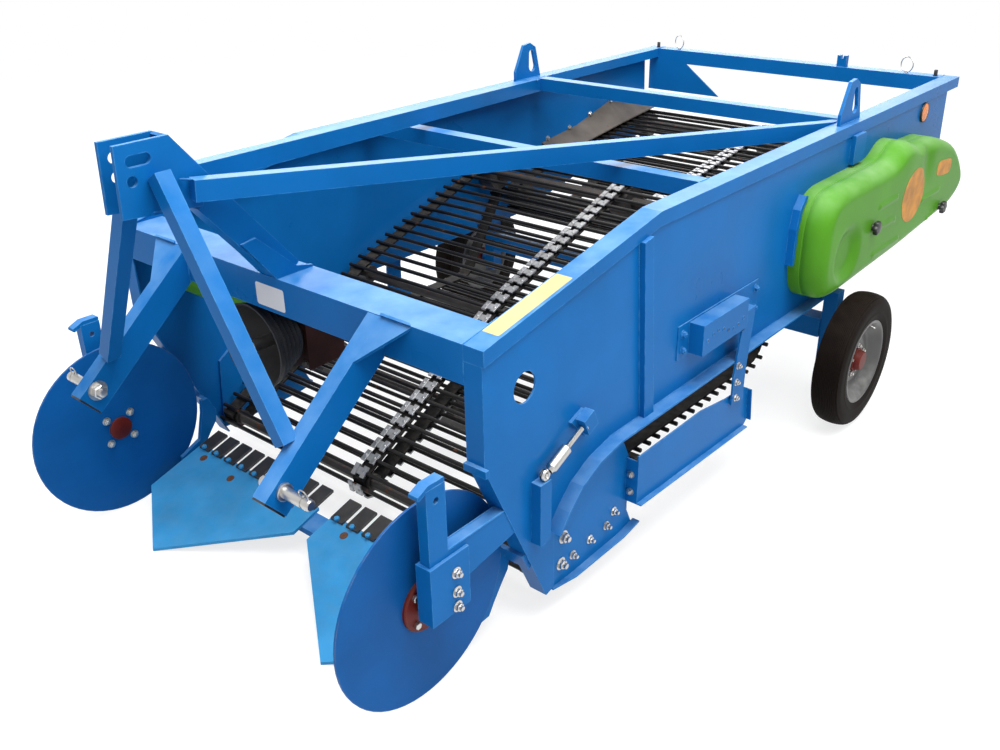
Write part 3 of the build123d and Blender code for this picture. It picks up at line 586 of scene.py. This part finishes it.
for name, side in (("left", 1), ("right", -1)):
    body = f"coulter_{name}"
    casting = bmesh.new()
    lathe(casting, (side * hub_outside, disc_y, disc_z), (side, 0, 0), outer_casting)
    lathe(casting, (side * hub_inside, disc_y, disc_z), (-side, 0, 0), inner_casting)
    piece(f"coulter_hub_casting_{name}", casting, hub_red, body, replaced=(f"coulter_hub_{name}",))
    bolts = bmesh.new()
    for k in range(4):
        a = radians(45 + 90 * k)
        y, z = disc_y + disc_bolt_circle * cos(a), disc_z + disc_bolt_circle * sin(a)
        bolt(bolts, (side * (hub_outside + 10), y, z), (side, 0, 0), 17, tilt=k * 0.6, washer=False)
        bolt(bolts, (side * hub_inside, y, z), (-side, 0, 0), 17, tilt=k * 0.9, stub=3)
    piece(f"coulter_hub_bolts_{name}", bolts, steel, body)
clamp_y, clamp_face = -116, 727
clamp_rows = [(372, 681, True), (318, wall_outside, False), (276, wall_outside, False)]
bolts = bmesh.new()
for side in (1, -1):
    for k, (z, back_x, washer) in enumerate(clamp_rows):
        bolt(bolts, (side * clamp_face, clamp_y, z), (side, 0, 0), 19, stub=7, tilt=0.4 + k)
        bolt(bolts, (side * back_x, clamp_y, z), (-side, 0, 0), 19, tilt=0.2 * k, washer=washer)
piece("clamp_bolts", bolts, steel)
stem_inside, stem_width = 690, 28
head_outline = [(-213, 611), (-209, 609), (-178, 622), (-132, 622), (-130, 626), (-130, 632), (-132, 634),
                (-180, 634), (-212, 620), (-214, 615)]
heads = bmesh.new()
for side in (1, -1):
    plate(heads, [(side * stem_inside, y, z) for y, z in head_outline], (side * stem_width, 0, 0))
bmesh.ops.recalc_face_normals(heads, faces=heads.faces)
piece("stem_heads", heads, blue_paint)
welds("coulter_welds", [
    ((wall_outside, -128, 440), (wall_outside, 62, 440)),
    ((689, -128, 440), (689, 62, 440)),
    ((wall_outside, 66, 438), (wall_outside, 102, 360)),
], 2.4)

# Rod webs: round black bars riveted to three rubber bands, with a pressed galvanized link over the
# middle of each bar. Soil dust lies on the bars, and they rust in patches.
rod_steel = finish("rod_steel", (0.007, 0.0065, 0.0065), rough=0.3, gloss=0.2, uneven=0.35, size=2.5,
                   dust_and_sheen=((0.22, 0.20, 0.18), 0.07), rusty=0.2, grain=0.00006)
galvanized = finish("galvanized", (0.33, 0.335, 0.345), rough=0.27, metal=0.9, gloss=0.4, uneven=0.28,
                    size=6.0, dust_and_sheen=((0.4, 0.38, 0.35), 0.25), rusty=0.05)
belt_rubber = finish("belt_rubber", (0.007, 0.007, 0.007), rough=0.62, gloss=0.15, uneven=0.3, size=4.0,
                     dust_and_sheen=((0.16, 0.14, 0.12), 0.3))
dark_steel = finish("dark_steel", (0.03, 0.026, 0.024), rough=0.5, gloss=0.5, uneven=0.4, size=3.0, rusty=0.3,
                    dust_and_sheen=((0.14, 0.11, 0.09), 0.3))
rod_half_length = 0.690
rod_radius = 0.0070
rod_chamfer = 0.001
rod_corner_span = 0.016
rod_profile = ((-rod_half_length, rod_radius - rod_chamfer), (-rod_half_length + rod_chamfer, rod_radius),
               (rod_half_length - rod_chamfer, rod_radius), (rod_half_length, rod_radius - rod_chamfer))
link_lift = 0.0068
lobe_start, lobe_end, lobe_half_length = 0.0095, 0.0275, 0.019
lobe_top = link_lift + 0.007
bridge_half_length = 0.012
bridge_top = link_lift + 0.005
rivet_x = 0.0185
rivet_profile = ((-0.001, 0.0058), (0.0012, 0.005), (0.0022, 0.003))


def rod_places(name):
    """Middles of a web's bars in the order of the loop, each with the heading of the web there."""
    groups = []
    for vert in nodes[name].data.vertices:
        y, z = vert.co.y, vert.co.z
        for group in groups:
            if hypot(group[0][0] - y, group[0][1] - z) < rod_corner_span:
                group.append((y, z))
                break
        else:
            groups.append([(y, z)])
    middles = [tuple((min(p[k] for p in group) + max(p[k] for p in group)) / 2 for k in (0, 1))
               for group in groups]
    chain = [middles.pop(0)]
    while middles:
        gaps = [hypot(y - chain[-1][0], z - chain[-1][1]) for y, z in middles]
        chain.append(middles.pop(gaps.index(min(gaps))))
    area = sum(a[0] * b[1] - b[0] * a[1] for a, b in zip(chain, chain[1:] + chain[:1]))
    if area > 0:
        chain.reverse()
    places = []
    for before, here, after in zip(chain[-1:] + chain[:-1], chain, chain[1:] + chain[:1]):
        places.append((*here, atan2(after[1] - before[1], after[0] - before[0])))
    return places


def block(built, origin, along, normal, x0, x1, half, high, chamfer):
    """A chamfered block on a bar: its limits across, its half length along the web and its top."""
    rings = []
    for height, cut in ((link_lift, 0.0), (high - chamfer, 0.0), (high, chamfer)):
        reach = half - cut
        corners = ((x0 + cut, -reach), (x1 - cut, -reach), (x1 - cut, reach), (x0 + cut, reach))
        rings.append([built.verts.new(origin + Vector((x, 0, 0)) + along * t + normal * height)
                      for x, t in corners])
    built.faces.new(rings[0][::-1])
    skin(built, rings)
    built.faces.new(rings[-1])


for web in ("front_web", "rear_web"):
    bars = bmesh.new()
    links = bmesh.new()
    for y, z, heading in rod_places(f"{web}_rods"):
        rings = [[bars.verts.new((x, y + radius * cos(a), z + radius * sin(a))) for a in around(12)]
                 for x, radius in rod_profile]
        bars.faces.new(rings[0][::-1])
        bars.faces.new(rings[-1])
        skin(bars, rings)
        along = Vector((0, cos(heading), sin(heading)))
        normal = Vector((0, -sin(heading), cos(heading)))
        origin = Vector((0, y, z))
        for sign in (-1, 1):
            x0, x1 = sorted((sign * lobe_start, sign * lobe_end))
            block(links, origin, along, normal, x0, x1, lobe_half_length, lobe_top, 0.0015)
            rivet = origin + Vector((sign * rivet_x, 0, 0)) + normal * lobe_top
            dome = []
            for up, radius in rivet_profile:
                ring = [Vector((radius * cos(a), 0, 0)) + along * (radius * sin(a)) for a in around(8)]
                dome.append([links.verts.new(rivet + normal * up + point) for point in ring])
            links.faces.new(dome[-1])
            skin(links, dome)
        block(links, origin, along, normal, -lobe_start, lobe_start, bridge_half_length, bridge_top, 0.001)
    piece(f"{web}_round_bars", bars, rod_steel, replaced=(f"{web}_rods",))
    piece(f"{web}_pressed_links", links, galvanized, replaced=(f"{web}_links",))
    dress(belt_rubber, f"{web}_belts")
    dress(dark_steel, f"{web}_rollers")

# Strips along the rear web: bent sheet bolted to the walls, bare steel gone brown and streaked. The
# bolts' heads stand on the walls' inner faces.
strip_steel = finish("strip_steel", (0.11, 0.095, 0.082), rough=0.42, metal=0.3, gloss=0.2, uneven=0.35,
                     size=2.0, dust_and_sheen=((0.17, 0.155, 0.14), 0.4), rusty=0.22)
dress(strip_steel, "crop_deflectors")
bolts = bmesh.new()
for side in (1, -1):
    for y, z in ((2080, 731), (2240, 750), (2400, 784), (2560, 820), (2720, 806)):
        bolt(bolts, (side * wall_inside, y, z), (-side, 0, 0), 17, tilt=y)
piece("strip_bolts", bolts, steel)

# Drive: a cast gearbox under the front beam, its splined shaft in a corrugated rubber bell, and a green
# moulded tube over the cross shaft to the right wall.
gearbox_iron = finish("gearbox_iron", (0.024, 0.008, 0.007), rough=0.5, gloss=0.15, uneven=0.4, size=3.0,
                      edge=((0.10, 0.035, 0.03), 0.4, 0.004), dust_and_sheen=((0.06, 0.05, 0.045), 0.3), rusty=0.08,
                      grain=0.0002)
dress(gearbox_iron, "gearbox")
dress(steel, "pto_shaft")
# The pale green laid on the upper faces of the green mouldings is a painted sheen of light from above.
green_plastic = finish("green_plastic", (0.078, 0.265, 0.018), rough=0.28, gloss=0.05, uneven=0.14, size=0.9,
                       dust_and_sheen=((0.46, 0.62, 0.38), 0.30), grain=0.00005)
dress(green_plastic, "cross_shaft_guard")
bell_rubber = finish("bell_rubber", (0.010, 0.010, 0.011), rough=0.5, gloss=0.4, uneven=0.3, size=3.0,
                     dust_and_sheen=((0.12, 0.11, 0.10), 0.25))
shaft_x, shaft_z = -120, 650
fold_pitch, fold_growth = 20, 9
bell_profile = [(0, 64), (0, 78)]
for fold in range(5):
    along, wider = fold_pitch * fold, fold_growth * fold
    bell_profile += [(8 + along, 82 + wider), (16 + along, 78 + wider), (22 + along, 86 + wider)]
bell_profile += [(112, 124), (118, 126), (118, 121), (100, 112), (4, 70), (0, 64)]
bell = bmesh.new()
lathe(bell, (shaft_x, 119, shaft_z), (0, -1, 0), bell_profile, 56)
piece("shaft_bell", bell, bell_rubber)
bolts = bmesh.new()
for x, z in ((-195, 575), (-45, 575), (-195, 715), (-45, 715), (shaft_x, 770)):
    bolt(bolts, (x, 120, z), (0, -1, 0), 17, tilt=x)
for x, y in ((-195, 140), (-45, 140), (-195, 235), (-45, 235)):
    bolt(bolts, (x, y, 560), (0, 0, -1), 17, tilt=y)
piece("gearbox_bolts", bolts, dark_steel)

# Belt guard: one moulded green cover over the belts, with a soft rounded edge, a step near the wall, a
# hollow at the front, short pressed ribs, and two hand knobs that hold it.
guard_back = 719.3
guard_face = 844.3
edge_depth = 58.0
edge_reach = 46.0
guard_outline = [
    (1625, 500), (1570, 512), (1530, 552), (1508, 617), (1508, 753), (1524, 812), (1560, 852), (1620, 870),
    (2050, 868), (2090, 884), (2135, 912), (2200, 918), (2262, 896), (2300, 882), (2500, 872), (2580, 852),
    (2700, 815), (2790, 752), (2858, 680), (2868, 628), (2830, 578), (2736, 543), (2206, 513),
]


def softened(points, cut, spacing):
    """The outline with its corners rounded off, and points at even steps."""
    rounded_path = []
    for index, corner in enumerate(points):
        here = Vector(corner)
        ends = []
        for other in (Vector(points[index - 1]), Vector(points[(index + 1) % len(points)])):
            reach = (other - here).length
            ends.append(here + (other - here) * min(cut / reach, 0.48))
        for k in range(7):
            t = k / 6
            rounded_path.append(ends[0] * (1 - t) ** 2 + here * 2 * t * (1 - t) + ends[1] * t ** 2)
    even = []
    for first, second in zip(rounded_path, rounded_path[1:] + rounded_path[:1]):
        parts = max(round((second - first).length / spacing), 1)
        even += [first + (second - first) * k / parts for k in range(parts)]
    return even


guard_path = softened(guard_outline, 46, 9)
path = np.array([tuple(p) for p in guard_path])
path_next = np.roll(path, -1, axis=0)


def inside_distance(points):
    """How far inside the guard's outline each point lies; negative outside."""
    run = path_next - path
    away = points[:, None, :] - path[None, :, :]
    share = np.clip((away * run).sum(2) / (run * run).sum(1), 0, 1)
    gap = np.hypot(*np.moveaxis(away - share[:, :, None] * run, 2, 0)).min(1)
    y, z = points[:, 0:1], points[:, 1:2]
    crossing = ((path[:, 1] > z) != (path_next[:, 1] > z))
    level_y = path[:, 0] + (z - path[:, 1]) * run[:, 0] / np.where(run[:, 1] == 0, 1e-9, run[:, 1])
    return np.where((crossing & (y < level_y)).sum(1) % 2 == 1, gap, -gap)


def ease(value, low, high):
    """A smooth step from 0 at low to 1 at high."""
    t = np.clip((value - low) / (high - low), 0, 1)
    return t * t * (3 - 2 * t)


pressed_ribs = [((1939, 741), (2097, 741)), ((1977, 668), (2106, 657)), ((1938, 569), (2171, 569)),
                ((2371, 662), (2556, 664)), ((2469, 565), (2538, 575))]
rib_height = 4.5
hollow_middle, hollow_size, hollow_depth = (1702, 640), (108, 104), 20
waist_y, waist_width, waist_depth = 2385, 42, 11
hump_middle, hump_size, hump_height = (2190, 850), (90, 60), 5


def guard_surface(points, depth):
    """X of the guard's face at places in (y, z), rounded towards the outline."""
    along = np.clip(depth / edge_reach, 0, 1)
    x = guard_face - 5.0 - edge_depth * (1 - np.sqrt(1 - (1 - along) ** 2))
    y, z = points[:, 0], points[:, 1]
    hollow = np.hypot((y - hollow_middle[0]) / hollow_size[0], (z - hollow_middle[1]) / hollow_size[1])
    x -= hollow_depth * (1 - ease(hollow, 0.45, 1.05)) * ease(depth, 15, 60)
    waist = np.exp(-((y - waist_y) / waist_width) ** 2)
    x -= waist_depth * waist * ease(z, 690, 850) * ease(depth, 2, 30)
    hump = ((y - hump_middle[0]) / hump_size[0]) ** 2 + ((z - hump_middle[1]) / hump_size[1]) ** 2
    x += hump_height * np.exp(-hump) * ease(depth, 5, 40)
    for (y0, z0), (y1, z1) in pressed_ribs:
        run_y, run_z = y1 - y0, z1 - z0
        share = np.clip(((y - y0) * run_y + (z - z0) * run_z) / (run_y ** 2 + run_z ** 2), 0, 1)
        gap = np.hypot(y - y0 - share * run_y, z - z0 - share * run_z)
        x += rib_height * (1 - ease(gap, 3, 11))
    return x


def inward(distance):
    """The guard's outline moved inwards by a small distance."""
    run = path_next - path
    back = path - np.roll(path, 1, axis=0)
    heading = run / np.hypot(*run.T)[:, None] + back / np.hypot(*back.T)[:, None]
    heading /= np.hypot(*heading.T)[:, None]
    shift = distance * np.stack([-heading[:, 1], heading[:, 0]], 1)
    moved = path + shift
    return moved if inside_distance(moved[:1])[0] > 0 else path - shift


cover = bmesh.new()
count = len(path)
seam = guard_back + 40.0
wall_rings = [(guard_back + 4, 4.0), (guard_back, 3.0), (guard_back, 0.0), (seam - 2, 0.0), (seam, 2.5),
              (seam + 3, 2.5), (seam + 5, 0.3)]
rings = []
for x, inset in wall_rings:
    ring = inward(inset) if inset else path
    rings.append([cover.verts.new(spot(x, *p)) for p in ring])
face_rings = [path] + [inward(inset) for inset in (0.6, 2.2, 5.0, 9.0)]
for ring in face_rings:
    depth = np.clip(inside_distance(ring), 0, None) if ring is not path else np.zeros(count)
    rings.append([cover.verts.new(spot(x, *p)) for x, p in zip(guard_surface(ring, depth), ring)])
skin(cover, rings)
grid_step = 8.0
grid_margin = 13.5
grid_y, grid_z = np.meshgrid(np.arange(1500, 2880, grid_step), np.arange(490, 930, grid_step))
grid = np.stack([grid_y.ravel(), grid_z.ravel()], 1)
grid = grid[inside_distance(grid) > grid_margin]
points = np.concatenate([face_rings[-1], grid])
border = [(k, (k + 1) % count) for k in range(count)]
flat = delaunay_2d_cdt([Vector(p) for p in points], border, [], 1, 1e-6)
faces_x = guard_surface(points, np.clip(inside_distance(points), 0, None))
face_verts = []
for origins in flat[3]:
    first = origins[0]
    if first < count:
        face_verts.append(rings[-1][first])
    else:
        face_verts.append(cover.verts.new(spot(faces_x[first], *points[first])))
for corners in flat[2]:
    verts = list(dict.fromkeys(face_verts[k] for k in corners))
    if len(verts) > 2 and cover.faces.get(verts) is None:
        cover.faces.new(verts)
bmesh.ops.recalc_face_normals(cover, faces=cover.faces)
piece("belt_guard_cover", cover, green_plastic, sharp=50, replaced=("belt_guard",))

film_lift = 0.7
film_edge = Vector((0.0006, 0, 0))


def film_on_guard(name, middle, half, material, power, lean=0.0):
    """A thin blank label that follows the guard's face; power shapes it from oval to square."""
    film = bmesh.new()
    rings = []
    angles = np.array(around(48))
    reach = (np.abs(np.cos(angles)) ** power + np.abs(np.sin(angles)) ** power) ** (-1 / power)
    for k in range(9):
        u = k / 8 * reach * np.cos(angles) * half[0]
        v = k / 8 * reach * np.sin(angles) * half[1]
        y = middle[0] + u * cos(lean) - v * sin(lean)
        z = middle[1] + u * sin(lean) + v * cos(lean)
        ring = np.stack([y, z], 1) if k else np.array([middle])
        xs = guard_surface(ring, np.clip(inside_distance(ring), 0, None)) + film_lift
        rings.append([film.verts.new(spot(x, *p)) for x, p in zip(xs, ring)])
    rings.append([film.verts.new(vert.co - film_edge) for vert in rings[-1]])
    skin(film, rings)
    bmesh.ops.recalc_face_normals(film, faces=film.faces)
    return piece(name, film, material, sharp=60)


amber_film = finish("amber_film", (0.48, 0.21, 0.035), rough=0.32, gloss=0.06, uneven=0.3, size=6.0,
                    dust_and_sheen=((0.45, 0.42, 0.16), 0.5))
film_on_guard("guard_label_large", (2268, 708), (108, 100), amber_film, 2.0)
film_on_guard("guard_label_small", (2578, 745), (82, 30), amber_film, 4.0, lean=-0.12)
knob_radius, lobe_height, lobes = 23, 2.5, 6
knob_profile = ((8, 0.93), (11, 1.0), (20, 1.0), (24, 0.9), (26, 0.5), (26.5, 0.0))
knob = bmesh.new()
for y, z in ((1900, 681), (2607, 580)):
    here = np.array([[y, z]])
    face = float(guard_surface(here, inside_distance(here))[0]) - 1
    lathe(knob, (face, y, z), (1, 0, 0), [(0, 0), (0, 13), (8, 11)], 24)
    rings = []
    for along, scale in knob_profile:
        grip = [(a, scale * (knob_radius + lobe_height * cos(lobes * a))) for a in around(48)]
        grip = grip if scale else [(0.0, 0.0)]
        rings.append([knob.verts.new(spot(face + along, y + r * cos(a), z + r * sin(a))) for a, r in grip])
    skin(knob, rings)
    knob.faces.new(rings[0][::-1])
piece("guard_hand_knobs", knob, black_plastic, replaced=("guard_knobs",))

# Adjusters, skirts and turnbuckles on the walls: bent sheet bolted on, and a threaded rod in a plated
# sleeve that sets the web's front end. Black discs inside the rims of the adjuster box's slots are painted
# shade for the dark holes.
dress(blue_paint, "adjusters", "side_skirts")
skirt_flange_x, skirt_strap_face, buckle_x = 731, 766, 742
box_flange_face, box_face = 723, 770
slot_places = [(912 + 30 * k, 590 + 14 * sin(k * 0.9)) for k in range(8)]
slot_rim = [(0, 7), (1.2, 6.6), (1.2, 4.4), (-0.5, 4.0)]
holder_bolts = [(308, 226), (298, 145), (351, 143), (429, 150), (508, 152), (543, 182)]
bolts = bmesh.new()
paint_bolts = bmesh.new()
# The black discs built here sit in the slot rims as painted shade: they stand for the dark holes.
hole_shade = bmesh.new()
for side in (1, -1):
    for k, (y, z) in enumerate(holder_bolts):
        bolt(bolts, (side * holder_face, y, z), (side, 0, 0), 24 if k < 2 else 17, stub=9, tilt=k * 0.5)
    for z in (282, 226):
        bolt(bolts, (side * skirt_flange_x, 600, z), (0, -1, 0), 15, stub=4, tilt=z)
    for k, (y, z) in enumerate([(1126, 428), (1124, 372), (1128, 316)]):
        bolt(bolts, (side * skirt_strap_face, y, z), (side, 0, 0), 15, stub=5, tilt=k * 0.8)
    for k, (y, z) in enumerate([(850, 620), (1280, 560), (1280, 625), (850, 570)]):
        bolt(paint_bolts, (side * box_flange_face, y, z), (side, 0, 0), 17, stub=4, tilt=k * 0.4)
    for y, z in slot_places:
        lathe(paint_bolts, (side * box_face, y, z), (side, 0, 0), slot_rim, 16)
        lathe(hole_shade, (side * box_face, y, z), (side, 0, 0), [(0.25, 4.4), (0.3, 0)], 16)
piece("wall_bolts", bolts, steel)
piece("adjuster_bolts", paint_bolts, blue_paint)
piece("adjuster_hole_shade", hole_shade, black_plastic)
eye_y, eye_z = 196, 484
sleeve_profile = [(14, 9), (22, 12), (24, 15), (90, 15), (92, 13), (92, 7)]
thread_start, thread_pitch = 92, 2.9
thread_profile = []
for k in range(24):
    along = thread_start + thread_pitch * k
    thread_profile += [(along, 6.1), (along + 1.4, 7.3)]
buckles = bmesh.new()
for side in (1, -1):
    start, end = Vector((side * buckle_x, eye_y, eye_z)), Vector((side * buckle_x, 344.6, 551.3))
    run = (end - start).normalized()
    lathe(buckles, start, run, sleeve_profile + thread_profile, 24)
    hoop(buckles, start, (1, 0, 0), 11.5, 4.4, 32)
    bolt(buckles, (side * 731, eye_y, eye_z), (side, 0, 0), 17, stub=5)
    bolt(buckles, end + run * 4, run, 19, stub=16)
piece("turnbuckle_rods", buckles, steel, replaced=("turnbuckles",))

# Gauge wheels: ribbed rubber tyres on dished, silver-painted rims with a red cast hub, on stub axles
# that stand out from posts on both ends of the cross axle. The rims' colour is painted light and shade.
dress(blue_paint, "wheel_posts", "post_brackets", "axle_beam")
tyre_rubber = finish("tyre_rubber", (0.007, 0.0046, 0.0036), rough=0.6, gloss=0.06, uneven=0.25, size=3.0,
                     dust_and_sheen=((0.07, 0.05, 0.04), 0.2), grain=0.0001)
# The rim is a dark grey that stands for shade, with a pale grey painted on its upward faces as light and a
# bright grey on its edges as a painted highlight.
silver_rim_painted_light_and_shade = finish("silver_rim_painted_light_and_shade", (0.08, 0.08, 0.078), rough=0.3, metal=0.2, gloss=0.3, uneven=0.08, size=3.0,
                    edge=((0.7, 0.7, 0.7), 0.3, 0.002), dust_and_sheen=((0.46, 0.45, 0.44), 0.55), rusty=0.08)
wheel_x, wheel_y, wheel_z = 882, 1778.0, 240.0
tyre_radius, half_tread, rib_pitch, groove_depth = 239.8, 48, 5.6, 2.6
tread = []
for k in range(-9, 10):
    x = k * rib_pitch
    crown = tyre_radius - 0.0042 * x * x - (0.10 * max(abs(x) - 34, 0) ** 1.6)
    groove = crown - groove_depth
    tread += [(x - 1.9, crown), (x + 1.5, crown), (x + 1.9, groove), (x + 3.3, groove)]
tread = [p for p in tread if abs(p[0]) <= half_tread]
flank = [(50.6, 216), (51.6, 205), (51.8, 190), (50.2, 178), (50.9, 176), (50.4, 172), (48, 160), (45.6, 151),
         (43.5, 146), (40, 143)]
tyre_profile = [(-x, r) for x, r in flank[::-1]] + tread + flank
rim_edge = [(40, 142.5), (44, 146), (44, 149), (45.5, 150), (47, 148), (46.5, 143), (44, 139)]
dish_outside = [(38, 135), (26, 121), (12, 112), (7, 104), (6, 92), (9, 84), (10, 70), (8, 62), (7.5, 50),
                (7.5, 30)]
dish_inside = [(-2, 30), (-2, 70), (-1, 84), (-4, 92), (-4, 110), (-12, 116), (-38, 133)]
rim_profile = rim_edge + dish_outside + dish_inside + [(-x, r) for x, r in rim_edge[::-1]]
hub_profile = [(7.6, 44), (16, 42), (17, 38), (34, 34), (38, 30), (39, 0)]
drum_profile = [(-2.2, 38), (-30, 38), (-40, 34), (-44, 30), (-44, 16)]
valve_profile = [(-14, 3.2), (-2, 3.2), (-2, 4.2), (4, 4.2), (5, 2), (5, 0)]
nut_circle, valve_circle, valve_angle = 54, 122, 1.2
for name, side in (("left", 1), ("right", -1)):
    body = f"wheel_{name}"
    centre, axis = (side * wheel_x, wheel_y, wheel_z), (side, 0, 0)
    rubber = bmesh.new()
    lathe(rubber, centre, axis, tyre_profile, 120)
    piece(f"ribbed_tyre_{name}", rubber, tyre_rubber, body, sharp=50, replaced=(f"tyre_{name}",))
    dish = bmesh.new()
    lathe(dish, centre, axis, rim_profile, 96)
    piece(f"dished_rim_{name}", dish, silver_rim_painted_light_and_shade, body, replaced=(f"rim_{name}",))
    hub = bmesh.new()
    lathe(hub, centre, axis, hub_profile)
    lathe(hub, centre, axis, drum_profile)
    piece(f"wheel_hub_casting_{name}", hub, hub_red, body, replaced=(f"wheel_hub_{name}",))
    bolts = bmesh.new()
    for k, a in enumerate(around(5, 0.3)):
        y, z = wheel_y + nut_circle * cos(a), wheel_z + nut_circle * sin(a)
        bolt(bolts, (side * (wheel_x + 7.5), y, z), axis, 17, stub=6, tilt=k * 0.7)
    y, z = wheel_y + valve_circle * cos(valve_angle), wheel_z + valve_circle * sin(valve_angle)
    lathe(bolts, (side * (wheel_x + 42), y, z), (side, 0.25, -0.5), valve_profile, 10)
    piece(f"wheel_nuts_{name}", bolts, steel, body)

# Rear fittings: lugs for a crane's hook, round amber reflectors in black rims, ring pins standing in the
# rear beam, plugs in the tube ends and a small notched catch.
dress(blue_paint, "lifting_lugs")
amber_lens = finish("amber_lens", (0.80, 0.20, 0.01), rough=0.16, gloss=0.5, uneven=0.15, size=12.0,
                    grain=0.0006)
rim_section = [(0, 0), (0, 38), (6, 38), (8, 36.5), (8, 34), (5, 34)]
lens_section = [(5, 34), (7.5, 33), (8.6, 28), (9.2, 18), (9.6, 0)]
lens = bmesh.new()
rims = bmesh.new()
for side in (1, -1):
    centre = (side * wall_outside, 2600, 936)
    lathe(rims, centre, (side, 0, 0), rim_section, 40)
    lathe(lens, centre, (side, 0, 0), lens_section, 40)
piece("reflector_rims", rims, black_plastic)
piece("reflector_lenses", lens, amber_lens)
collar = [(0, 0), (0, 8), (3, 8), (4, 6), (8, 6), (8, 0)]
rings = bmesh.new()
for x in (-567, 520):
    hoop(rings, (x, 2918, 1052), (0.35, 1, 0), 30, 2.2, 40)
    lathe(rings, (x, 2918, rail_top), (0, 0, 1), collar, 16)
piece("ring_pins", rings, steel)
plug = [(0, 0), (0, 10), (3, 10), (3, 7.5), (22, 7.5), (24, 6), (24, 0)]
plugs = bmesh.new()
for x, y in ((-686, 2925), (640, 2918)):
    lathe(plugs, (x, y, rail_top), (0, 0, 1), plug, 16)
piece("rail_plugs", plugs, black_plastic)
catch_steps = [(224, 1018), (264, 1018), (264, 1064), (252, 1064), (250, 1052), (238, 1052), (236, 1064),
               (224, 1064)]
catch = bmesh.new()
plate(catch, [(x, 2904, z) for x, z in catch_steps], (0, 26, 0))
bmesh.ops.recalc_face_normals(catch, faces=catch.faces)
piece("rear_catch", catch, blue_paint)
